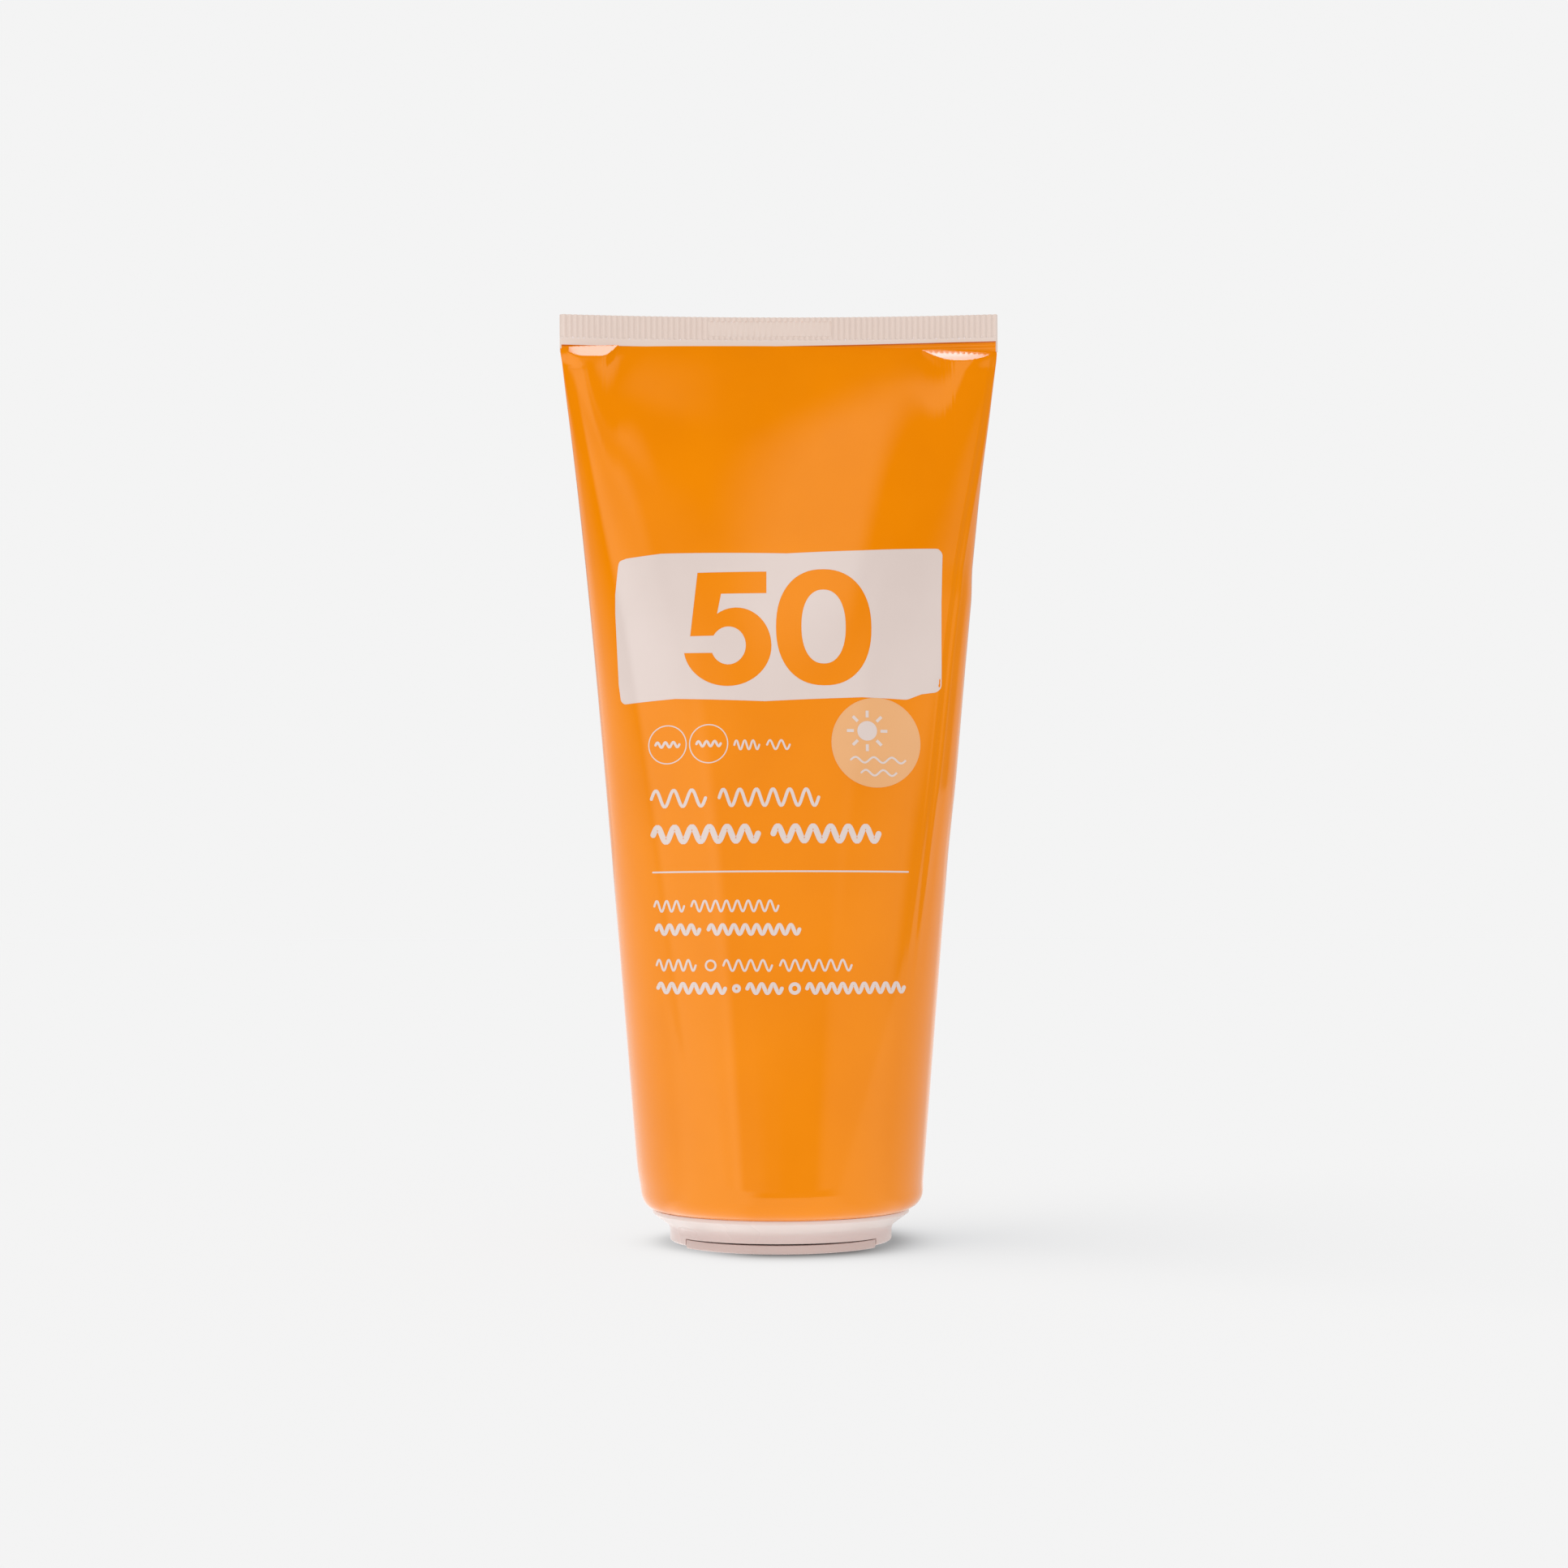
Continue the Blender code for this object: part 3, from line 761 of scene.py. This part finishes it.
def placed(outline):
    """The outline at the artwork's scale about the eye's height, with its long sides divided."""
    level = eye_height / MM
    corners = [np.array([x * print_scale, level + (z - level) * print_scale]) for x, z in outline]
    points = []
    for start, end in zip(corners, corners[1:] + corners[:1]):
        count = max(1, math.ceil(np.linalg.norm(end - start) / ink_step))
        points += [tuple(start + (end - start) * index / count) for index in range(count)]
    return points


def print_skin(name, outlines, material, lift=0.03, pitch=0.9, wall=0.06):
    """Ink on the front of the film. Outlines are closed loops of (x, z) in millimetres."""
    verts, edges = [], []
    outlines = [placed(outline) for outline in outlines]
    for outline in outlines:
        first, count = len(verts), len(outline)
        verts += [Vector(point) for point in outline]
        edges += [(first + index, first + (index + 1) % count) for index in range(count)]
    flat = np.array([tuple(v) for v in verts])
    low, high = flat.min(0), flat.max(0)
    for x in np.arange(low[0] + pitch / 2, high[0], pitch):
        for z in np.arange(low[1] + pitch / 2, high[1], pitch * ink_grid_stretch):
            verts.append(Vector((x, z)))
    points, _, faces, *_ = delaunay_2d_cdt(verts, edges, [], 1, 1e-5)
    flat = np.array([tuple(point) for point in points])
    faces = np.array([tuple(face) for face in faces if len(face) == 3])
    faces = faces[inside(flat[faces].mean(1), outlines)]
    used, faces = np.unique(faces, return_inverse=True)
    faces = [tuple(face) for face in faces.reshape(-1, 3).tolist()]
    flat = flat[used] * MM
    half_width, _ = section(way_up(flat[:, 1]))
    angle = -np.arccos(np.clip(flat[:, 0] / half_width, -1, 1))
    top = on_sleeve(angle, flat[:, 1], lift * MM)
    under = on_sleeve(angle, flat[:, 1], (lift - wall) * MM)
    count = len(flat)
    sides = [side for face in faces for side in zip(face, face[1:] + face[:1])]
    shared = set(sides)
    skin = faces + [tuple(index + count for index in reversed(face)) for face in faces]
    skin += [(b, a, a + count, b + count) for a, b in sides if (b, a) not in shared]
    piece = mesh_piece(name, np.concatenate([top, under]), skin, material)


def numeral_five():
    """A heavy upright 5 with a flat flag and an open bowl."""
    outline = [(-14.1, 116.5), (-2.2, 116.5), (-2.2, 112.7), (-10.0, 112.7), (-10.75, 108.9)]
    outline += ellipse_arc((-7.45, 103.5), (6.1, 6.75), 122, 2, 20)
    outline += ellipse_arc((-8.75, 103.5), (7.4, 6.9), 0, -90, 16)
    outline += ellipse_arc((-8.75, 103.6), (7.75, 7.0), -91, -171, 16)
    outline += ellipse_arc((-8.75, 103.65), (3.0, 3.3), -158, 148, 34)
    return outline + [(-15.35, 105.4)]


def oval(centre, radii, power=2, count=64):
    """A superellipse."""
    points = []
    for index in range(count):
        turn = 2 * math.pi * index / count
        cos, sin = math.cos(turn), math.sin(turn)
        px = math.copysign(abs(cos) ** (2 / power), cos)
        pz = math.copysign(abs(sin) ** (2 / power), sin)
        points.append((centre[0] + radii[0] * px, centre[1] + radii[1] * pz))
    return points


def wave_stroke(x_low, x_high, z, height, weight, waves=None):
    """A wavy stroke of even weight with steep sides and round ends."""
    swing = (height - weight) / 2
    waves = waves or max(1, round((x_high - x_low) / (height * 0.92)))
    xs = np.linspace(x_low + weight / 2, x_high - weight / 2, waves * 18 + 1)
    zs = z + swing * np.sin(np.linspace(0, waves * 2 * math.pi, len(xs)))
    slope = np.gradient(zs, xs)
    normal = np.stack([-slope, np.ones_like(slope)], -1)
    normal /= np.linalg.norm(normal, axis=1)[:, None]
    spine, aside = np.column_stack([xs, zs]), normal * weight / 2
    start, end = [math.degrees(math.atan2(*normal[tip, ::-1])) for tip in (0, -1)]
    left = ellipse_arc(spine[0], (weight / 2,) * 2, start + 180, start, 8)[1:-1]
    right = ellipse_arc(spine[-1], (weight / 2,) * 2, end, end - 180, 8)[1:-1]
    return [*(spine + aside), *right, *(spine - aside)[::-1], *left]


def ring_outlines(x, z, radius, weight):
    return [oval((x, z), (radius,) * 2), oval((x, z), (radius - weight,) * 2)]


def make_badge():
    """A peach disc with a plain sun over two waves."""
    (x, z), radius = badge_place, badge_radius
    print_skin("badge_disc", [oval((x, z), (radius, radius))], peach, lift=0.05)
    sun_x, sun_z = x - 1.6, z + 2.0
    print_skin("badge_sun", [oval((sun_x, sun_z), (1.7, 1.7))], pale_film, lift=0.08)
    for ray in range(badge_rays):
        turn = 2 * math.pi * ray / badge_rays
        along = np.array([math.cos(turn), math.sin(turn)])
        across = np.array([-along[1], along[0]]) * 0.26
        near, far = (sun_x, sun_z) + along * 2.3, (sun_x, sun_z) + along * 3.5
        outline = [near + across, near - across, far - across, far + across]
        print_skin(f"badge_ray_{ray + 1}", [outline], pale_film, lift=0.08)
    for index, (low, high, level) in enumerate(((-4.6, 5.2, -3.0), (-2.8, 3.6, -5.2))):
        wave = wave_stroke(x + low, x + high, z + level, 1.3, small_weight, 3 - index)
        print_skin(f"badge_wave_{index + 1}", [wave], pale_film, lift=0.08)


def make_print():
    zero = [oval((7.65, 106.8), (8.22, 10.15), 2.25), oval((7.6, 106.9), (3.8, 6.45), 2.25)]
    print_skin("number_panel", [panel_outline(), numeral_five(), *zero], pale_film)
    make_badge()
    for name, x in (("left", -19.3), ("right", -12.15)):
        print_skin(f"ring_{name}", ring_outlines(x, 86.7, ring_radius, 0.19), pale_film)
        wave = wave_stroke(x - 2.3, x + 2.3, 86.7, 1.3, 0.42, 3)
        print_skin(f"ring_wave_{name}", [wave], pale_film)
    print_skin("rule_line", [rounded((0.1, 64.75), (22.1, 0.14), 0.13, 3)], pale_film)
    for row, (z, height, weight, words) in print_rows.items():
        for index, (x_low, x_high) in enumerate(words):
            outline = wave_stroke(x_low, x_high, z, height, weight)
            print_skin(f"wave_{row}_{index + 1}", [outline], pale_film, pitch=0.8)
    for name, dot in print_dots.items():
        print_skin(name, ring_outlines(*dot), pale_film)


def panel_outline():
    """A rough-edged field, like one brush stroke over another."""
    corners = [
        (-27.9, 119.2), (-26.6, 119.6), (-20.4, 120.1), (1.3, 119.7), (14.3, 120.4), (27.8, 121.3),
        (28.5, 120.5), (28.2, 112.0), (28.1, 97.0), (27.3, 96.1), (24.6, 95.6), (22.0, 94.5),
        (14.1, 94.7), (10.3, 94.5), (-2.5, 93.9), (-17.9, 94.6), (-27.0, 94.1), (-27.6, 94.7),
        (-28.0, 97.6), (-28.6, 110.1), (-28.6, 113.4), (-28.1, 118.2),
    ]
    return softened(corners, 0.5, steps=4)


# Cap


def revolve(profile, steps=cap_steps):
    """Spins (radius, height) points round the tube's axis, and closes a ring's profile first."""
    bm = bmesh.new()
    points = [bm.verts.new((radius, 0, height)) for radius, height in profile]
    edges = [bm.edges.new(pair) for pair in zip(points, points[1:])]
    if profile[0][0] > 0:
        edges.append(bm.edges.new((points[-1], points[0])))
    bmesh.ops.spin(bm, geom=points + edges, axis=(0, 0, 1), cent=(0, 0, 0),
                   angle=2 * math.pi, steps=steps, use_merge=True)
    return bm


def softened(profile, radius, closed=True, steps=3):
    """The profile with each corner rounded off."""
    rounded_off = []
    count = len(profile)
    for index, corner in enumerate(profile):
        corner = np.array(corner)
        sides = [np.array(profile[(index + way) % count]) - corner for way in (-1, 1)]
        lengths = [np.linalg.norm(side) for side in sides]
        before, after = sides[0] / lengths[0], sides[1] / lengths[1]
        open_end = not closed and index in (0, count - 1)
        if open_end or np.dot(before, after) < nearly_straight:
            rounded_off.append(corner)
            continue
        reach = min(radius, longest_cut * min(lengths))
        start, end = corner + before * reach, corner + after * reach
        for way in np.linspace(0, 1, steps + 1):
            part = (1 - way) ** 2 * start + 2 * way * (1 - way) * corner
            rounded_off.append(part + way**2 * end)
    return rounded_off


def prism(outline, axis, low, high):
    """Extrudes an outline between two places along an axis: its points lie on the other two."""
    bm = bmesh.new()
    lower, upper = [
        [bm.verts.new((*pair[:axis], place, *pair[axis:])) for pair in outline]
        for place in (low, high)
    ]
    bm.faces.new(lower)
    bm.faces.new(upper)
    for index in range(len(outline)):
        bm.faces.new((lower[index - 1], lower[index], upper[index], upper[index - 1]))
    return bm


def sector(inner, outer, bottom, top, start, end, steps=cap_steps // 2):
    """A block between two radii, two heights and two angles; an angle of 0 is at +X."""
    bm = bmesh.new()
    corners = [(inner, bottom), (outer, bottom), (outer, top), (inner, top)]
    face = bm.faces.new([
        bm.verts.new((radius * math.cos(start), radius * math.sin(start), height))
        for radius, height in corners
    ])
    bmesh.ops.spin(bm, geom=[face, *face.verts, *face.edges], axis=(0, 0, 1),
                   cent=(0, 0, 0), angle=end - start, steps=steps)
    return bm


def plain_object(name, bm):
    bmesh.ops.remove_doubles(bm, verts=bm.verts, dist=0.001 * MM)
    bmesh.ops.recalc_face_normals(bm, faces=bm.faces)
    mesh = bpy.data.meshes.new(name)
    bm.to_mesh(mesh)
    bm.free()
    return add(name, mesh)


def carved(name, bm, changes, material, body):
    """A piece after Boolean changes, which are pairs of an operation and a bmesh."""
    piece = plain_object(name, bm)
    shapes = []
    for operation, shape in changes:
        shapes.append(plain_object(f"{name}_shape", shape))
        boolean = piece.modifiers.new(operation, "BOOLEAN")
        boolean.operation = operation
        boolean.solver = "EXACT"
        boolean.object = shapes[-1]
    graph = bpy.context.evaluated_depsgraph_get()
    mesh = bpy.data.meshes.new_from_object(piece.evaluated_get(graph))
    piece.modifiers.clear()
    piece.data = mesh
    for shape in shapes:
        bpy.data.objects.remove(shape, do_unlink=True)
    mesh.materials.clear()
    mesh.materials.append(material)
    smooth(piece, 28)
    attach(piece, body)
    return piece


def cap_profile():
    top = sleeve_bottom - seat_gap
    inner_foot = flare_radius - flare_land - (cap_top - deck_top) * math.tan(flare_angle)
    slope_run = cap_top - flare_lip
    meet = slope_run - (flare_radius - skirt_radius) / math.tan(flare_angle)
    fillet = (skirt_radius + flare_fillet, meet - flare_fillet * math.tan(flare_angle / 2))
    socket_outer = socket_radius + socket_wall
    lip_radius, lip_foot = neck_radius + clearance, cap_top - socket_lip
    seal_outer, seal_top = neck_bore - clearance, deck_top + seal_ring_height
    nozzle_outer, nozzle_tip = orifice_radius + nozzle_wall, lid_plate + clearance
    return [
        (skirt_radius - skirt_edge, skirt_lift), (skirt_radius, skirt_lift + skirt_edge),
        *ellipse_arc(fillet, (flare_fillet,) * 2, 180, 180 - math.degrees(flare_angle), 14),
        (flare_radius, slope_run), (flare_radius, top + flare_corner_rise),
        (flare_radius - flare_land, top), (inner_foot, deck_top),
        (socket_outer, deck_top), (socket_outer, cap_top), (lip_radius, cap_top),
        (lip_radius, lip_foot), (socket_radius, lip_foot), (socket_radius, deck_top),
        (seal_outer, deck_top), (seal_outer, seal_top),
        (seal_outer - seal_ring_wall, seal_top), (seal_outer - seal_ring_wall, deck_top),
        (orifice_radius, deck_top), (orifice_radius, nozzle_tip),
        (nozzle_outer, nozzle_tip), (nozzle_outer + nozzle_draft, deck_bottom),
        (pocket_radius, deck_bottom), (pocket_radius, skirt_lift),
    ]


def lid_profile():
    plug_radius = orifice_radius - clearance
    seat_top = deck_bottom - clearance
    rim_inner = lid_radius - lid_rim_width
    dish_radius = lid_radius - stand_ring_width
    seat_outer = rim_inner - seat_ring_inset
    seat_inner = seat_outer - seat_ring_width
    return [
        (0, stand_dish), (dish_radius - stand_dish, stand_dish), (dish_radius, 0),
        (skirt_radius - lid_edge, 0), (skirt_radius, lid_edge),
        (skirt_radius, lid_rim_height), (rim_inner, lid_rim_height), (rim_inner, lid_plate),
        (seat_outer, lid_plate), (seat_outer, seat_top),
        (seat_inner, seat_top), (seat_inner, lid_plate), (plug_radius, lid_plate),
        (plug_radius, plug_top - plug_chamfer), (plug_radius - plug_chamfer, plug_top),
        (0, plug_top),
    ]


def stiffener(index):
    """A web that ties the snap socket to the flared skirt, sunk into both and the deck."""
    start = socket_radius + socket_wall / 2
    top = deck_top + stiffener_height
    outer_top = flare_radius - flare_land - (cap_top - top) * math.tan(flare_angle)
    end = outer_top + skirt_wall / 4
    foot = deck_top - skirt_wall / 5
    foot_end = end - (top - foot) * math.tan(flare_angle)
    outline = [(start, foot), (foot_end, foot), (end, top), (start, top)]
    half = stiffener_thickness / 2
    bm = prism(outline, 1, -half, half)
    turn = 2 * math.pi * (index + 1 / 2) / stiffener_count
    bmesh.ops.rotate(bm, verts=bm.verts, cent=(0, 0, 0), matrix=Euler((0, 0, turn)).to_matrix())
    return bm


def box(x_range, y_range, z_range):
    (y_low, y_high), (z_low, z_high) = y_range, z_range
    outline = [(y_low, z_low), (y_high, z_low), (y_high, z_high), (y_low, z_high)]
    return prism(outline, 0, *x_range)


def scoop():
    """A shallow arch over the lip's middle, where a fingertip gets hold of the lid."""
    foot = notch_top - lip_gap
    xs = np.linspace(scoop_half_width, -scoop_half_width, scoop_steps)
    arch = [(x, notch_top + scoop_rise * (1 - (x / scoop_half_width) ** 2)) for x in xs]
    outline = [(scoop_half_width, foot), *arch, (-scoop_half_width, foot)]
    behind = math.sqrt(pocket_radius**2 - scoop_half_width**2) - clearance
    return prism(outline, 1, -outside, -behind)


def make_cap():
    notch_half = lip_half_angle + clearance / skirt_radius
    below = skirt_lift - overrun
    window_half = hinge_half_width + hinge_relief
    window_y = math.sqrt(lid_radius**2 - window_half**2) - overrun
    seat_half = hinge_half_width + clearance
    seat_top = hinge_axis.z + strip_height / 2 + clearance
    changes = [("UNION", stiffener(index)) for index in range(stiffener_count)]
    cuts = [
        sector(pocket_radius - clearance, outside, below, notch_top,
               lip_side - notch_half, lip_side + notch_half),
        scoop(),
        box((-window_half, window_half), (window_y, outside), (below, notch_top)),
        box((-seat_half, seat_half), (hinge_face_y, outside), (below, seat_top)),
    ]
    changes += [("DIFFERENCE", cut) for cut in cuts]
    base = carved("cap_body", revolve(softened(cap_profile(), edge_round)), changes,
                  pale_cap, "tube")
    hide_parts("cap_base")


def make_lid():
    tab_half = math.asin(hinge_half_width / skirt_radius)
    side_turn = math.pi - lip_half_angle - tab_half
    levels = (-overrun, lid_rim_height + overrun)
    cuts = [
        sector(lid_radius, outside, *levels, start, start + side_turn)
        for start in (lip_side + lip_half_angle, lip_side - lip_half_angle - side_turn)
    ]
    cuts.append(box((-outside, outside), (hinge_face_y, outside), levels))
    changes = [("DIFFERENCE", cut) for cut in cuts]
    profile = softened(lid_profile(), edge_round, closed=False)
    lid = carved("lid_panel", revolve(profile), changes, lid_pale_shaded, "lid")
    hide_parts("flip_lid")


def hinge_strip(name, x_low, x_high, replaced):
    """A moulded strip, thin across its middle, divided finely into rows."""
    inner = hinge_outer_y - strip_thickness
    waist = hinge_outer_y - strip_neck
    half = strip_height / 2
    offsets = np.linspace(-half, half, strip_rows)
    thin = 1 - step(np.abs(offsets), strip_neck_height / 2, strip_neck_height)
    rings = []
    xs = np.linspace(x_low, x_high, strip_columns)
    for offset, neck in zip(offsets, thin):
        z = hinge_axis.z + offset
        back = inner + (waist - inner) * neck
        outer = [(x, hinge_outer_y, z) for x in xs]
        near = [(x, back, z) for x in xs[::-1]]
        rings.append(np.array(outer + near))
    strip = rings_mesh(name, rings, pale_cap, body=None)
    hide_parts(replaced)
    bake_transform(strip)


def make_hinge():
    hinge_strip("hinge_web", film_low.x, film_high.x, "hinge_film")
    hinge_strip("strap_right", strap_low.x, strap_high.x, "hinge_strap_right")
    hinge_strip("strap_left", -strap_high.x, -strap_low.x, "hinge_strap_left")


def make_cream():
    """The cream inside, a clearance off the film, with a settled top."""
    low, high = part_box("cream_fill")
    count = 160
    angle = np.linspace(0, 2 * math.pi, count, endpoint=False)
    ring = np.stack([np.cos(angle), np.sin(angle)], -1)
    gap = sleeve_wall + clearance
    neck_fill = neck_bore - clearance
    arc_r = sleeve_radius - shoulder_radius
    arc_z = sleeve_bottom + shoulder_radius
    wide = sleeve_radius - gap - head_wall - 2 * clearance
    tucked = shoulder_radius - gap - head_wall - clearance
    step_z = taper_start + clearance
    turned = [
        (neck_fill * 0.55, low.z + 0.02 * MM), (neck_fill - 0.5 * MM, low.z),
        (neck_fill, low.z + 0.4 * MM), (neck_fill, arc_z - tucked - 0.8 * MM),
        (arc_r, arc_z - tucked), (wide, arc_z), (wide, step_z),
        (sleeve_radius - gap - clearance, step_z + 0.02 * MM),
    ]
    rings = [np.column_stack([radius * ring, np.full(count, z)]) for radius, z in turned]
    for share in np.linspace(0.02, (high.z - 1.2 * MM - taper_start) / body_length, 60):
        rings.append(sleeve_ring(angle, share, -gap))
    brim = rings[-1]
    for inset, rise in ((0.9, 0.5), (0.6, 0.75), (0.3, 0.85)):
        rings.append(brim * (inset, inset, 1) + (0, 0, rise * MM))
    cream = rings_mesh("cream_body", rings, cream_look)
    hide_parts("cream_fill")


# Stage, lights and camera


def azimuth(tree, place):
    """Degrees round the tube: 0 towards the camera's side, growing to the right."""
    parts = axes(tree, place)
    back = calc(tree, "MULTIPLY", parts["Y"], -1.0)
    return calc(tree, "DEGREES", calc(tree, "ARCTAN2", parts["X"], back))


def elevation(tree, place):
    return calc(tree, "DEGREES", calc(tree, "ARCSINE", axes(tree, place)["Z"]))


def between(tree, value, low, high, soft):
    """1 between two values and 0 outside them, with soft edges."""
    rise = ease(tree, value, low - soft, low + soft)
    fall = ease(tree, value, high + soft, high - soft)
    return calc(tree, "MULTIPLY", rise, fall)


def total(tree, start, glows):
    """The sum of glows, each a pair of brightness and windows."""
    level = start
    for glow, windows in glows:
        for window in windows:
            glow = calc(tree, "MULTIPLY", glow, window)
        level = calc(tree, "ADD", level, glow)
    return level


def contact(tree, place, reach):
    """The share of light left near the lid: least in front and behind, more at both sides."""
    across = calc(tree, "DIVIDE", axes(tree, place)["X"], reach)
    left = ease(tree, across, *contact_left_turn)
    right = ease(tree, across, *contact_right_turn)
    wide = calc(tree, "MULTIPLY_ADD", left, -contact_left_shorter, contact_reach)
    depth = calc(tree, "MULTIPLY_ADD", left, -contact_left_lighter, contact_depth)
    depth = calc(tree, "MULTIPLY_ADD", right, -contact_right_lighter, depth)
    level = reach
    for operation, value in (("SUBTRACT", contact_radius), ("DIVIDE", wide),
                             ("MAXIMUM", 0), ("POWER", contact_power), ("MULTIPLY", -1)):
        level = calc(tree, operation, level, value)
    shade = calc(tree, "MULTIPLY", calc(tree, "EXPONENT", level), depth)
    return calc(tree, "SUBTRACT", 1.0, shade)


def shining(tree, kind, strength, colour=white):
    """An Emission or a Background node's light."""
    inputs = {"Color": colour, "Strength": strength}
    return node(tree, "ShaderNode" + kind, inputs).outputs[kind]


def make_stage():
    """A floor that is seen from above alone. Its own light hides where it meets the backdrop."""
    material, tree, shader = new_material("floor_paint")
    corners = [(x * floor_size, y * floor_size, 0) for x, y in ((-1, -1), (1, -1), (1, 1), (-1, 1))]
    floor = mesh_piece("studio_floor", corners, [(0, 1, 2, 3)], material, body=None)
    light = even_light
    for _, strength, direction in suns:
        light += strength * Vector(direction).normalized().z / math.pi
    glow = [backdrop_level - paint * light for paint in floor_paint]
    place = coordinates(tree)
    reach = node(tree, "ShaderNodeVectorMath", {0: place}, operation="LENGTH").outputs["Value"]
    # The painted shadow of contact: it dims the floor's glow near the lid
    near_lid = contact(tree, place, reach)
    fill(tree, shader, {
        "Base Color": (*floor_paint, 1),
        "Roughness": 0.9,
        "Specular IOR Level": 0.0,
        "Emission Color": (*glow, 1),
        "Emission Strength": near_lid,
    })
    around = azimuth(tree, place)
    glows = [(bright, [between(tree, around, low, high, soft)])
             for low, high, bright, soft in floor_windows]
    close = [ease(tree, reach, *near_fade), between(tree, around, *near_window)]
    glows.append((near_floor - floor_dark, close))
    seen = shining(tree, "Emission", total(tree, floor_dark, glows))
    shaded = ease(tree, around, *bounce_turn, floor_bounce, floor_bounce_right)
    dimmed = calc(tree, "MULTIPLY_ADD", near_lid, bounce_shade, 1 - bounce_shade)
    bounce = shining(tree, "Emission", calc(tree, "MULTIPLY", shaded, dimmed))
    rays = node(tree, "ShaderNodeLightPath", {}).outputs
    light = between_shaders(tree, rays["Is Glossy Ray"], bounce, seen)
    mix = between_shaders(tree, rays["Is Camera Ray"], light, shader.outputs["BSDF"])
    under = node(tree, "ShaderNodeNewGeometry", {}).outputs["Backfacing"]
    clear = node(tree, "ShaderNodeBsdfTransparent", {}).outputs["BSDF"]
    sided = between_shaders(tree, under, mix, clear)
    tree.links.new(sided, tree.nodes["Material Output"].inputs["Surface"])
    return floor


def make_world():
    """Even light for plain shading, and soft boxes that only the gloss shows."""
    world = bpy.data.worlds.new("studio")
    world.use_nodes = True
    world.cycles.sampling_method = "NONE"
    tree = world.node_tree
    place = coordinates(tree, "Generated")
    around, above = azimuth(tree, place), elevation(tree, place)
    glows = [
        (bright, [between(tree, around, low, high, soft), between(tree, above, floor, top, soft)])
        for low, high, floor, top, bright, soft in soft_boxes
    ]
    leaning = calc(tree, "MULTIPLY_ADD", above, -lobe_lean, around)
    edges = [(leaning, lobe_left), (around, lobe_right), (above, lobe_foot), (above, lobe_head)]
    glows.append((lobe_level, [ease(tree, value, *edge) for value, edge in edges]))
    overhead = ease(tree, above, *overhead_turn)
    tone = between_colours(tree, overhead, white, (*overhead_colour, 1))
    rays = node(tree, "ShaderNodeLightPath", {}).outputs
    boxes = shining(tree, "Background", total(tree, studio_dark, glows), tone)
    plain = shining(tree, "Background", even_light)
    gloss = between_shaders(tree, rays["Is Glossy Ray"], plain, boxes)
    backdrop = tree.nodes["Background"]
    fill(tree, backdrop, {"Color": white, "Strength": backdrop_level})
    mix = between_shaders(tree, rays["Is Camera Ray"], gloss, backdrop.outputs["Background"])
    tree.links.new(mix, tree.nodes["World Output"].inputs["Surface"])
    bpy.context.scene.world = world


def make_lights(floor):
    """A soft key from above the front, and one from the left for the floor's shadow alone."""
    for name, strength, direction in suns:
        sun = add(name, bpy.data.lights.new(name, "SUN"))
        sun.data.energy = strength
        sun.data.angle = math.radians(sun_spread)
        sun.location = direction
        sun.rotation_euler = Vector(direction).to_track_quat("Z", "Y").to_euler()
        sun.visible_glossy = False
    only = bpy.data.collections.new("floor_only")
    only.objects.link(floor)
    sun.light_linking.receiver_collection = only


def make_camera():
    lens = bpy.data.cameras.new("camera")
    lens.sensor_width = sensor_width
    lens.lens = focal_pixels / frame_pixels * sensor_width
    lens.shift_y = (eye_pixel_y - frame_pixels / 2) / frame_pixels
    lens.shift_x = (frame_pixels / 2 - middle_pixel_x) / frame_pixels
    lens.clip_start, lens.clip_end = clip_range
    camera = add("camera", lens)
    camera.location = (0, -eye_distance, eye_height)
    camera.rotation_euler = (math.pi / 2, camera_roll, 0)
    bpy.context.scene.camera = camera


make_sleeve()
make_seal()
make_print()
make_cap()
make_lid()
make_hinge()
make_cream()
head = frame["nodes"]["tube_head"]
head.data.materials.clear()
head.data.materials.append(natural)
make_world()
make_lights(make_stage())
make_camera()
bpy.context.scene.view_settings.view_transform = "Standard"
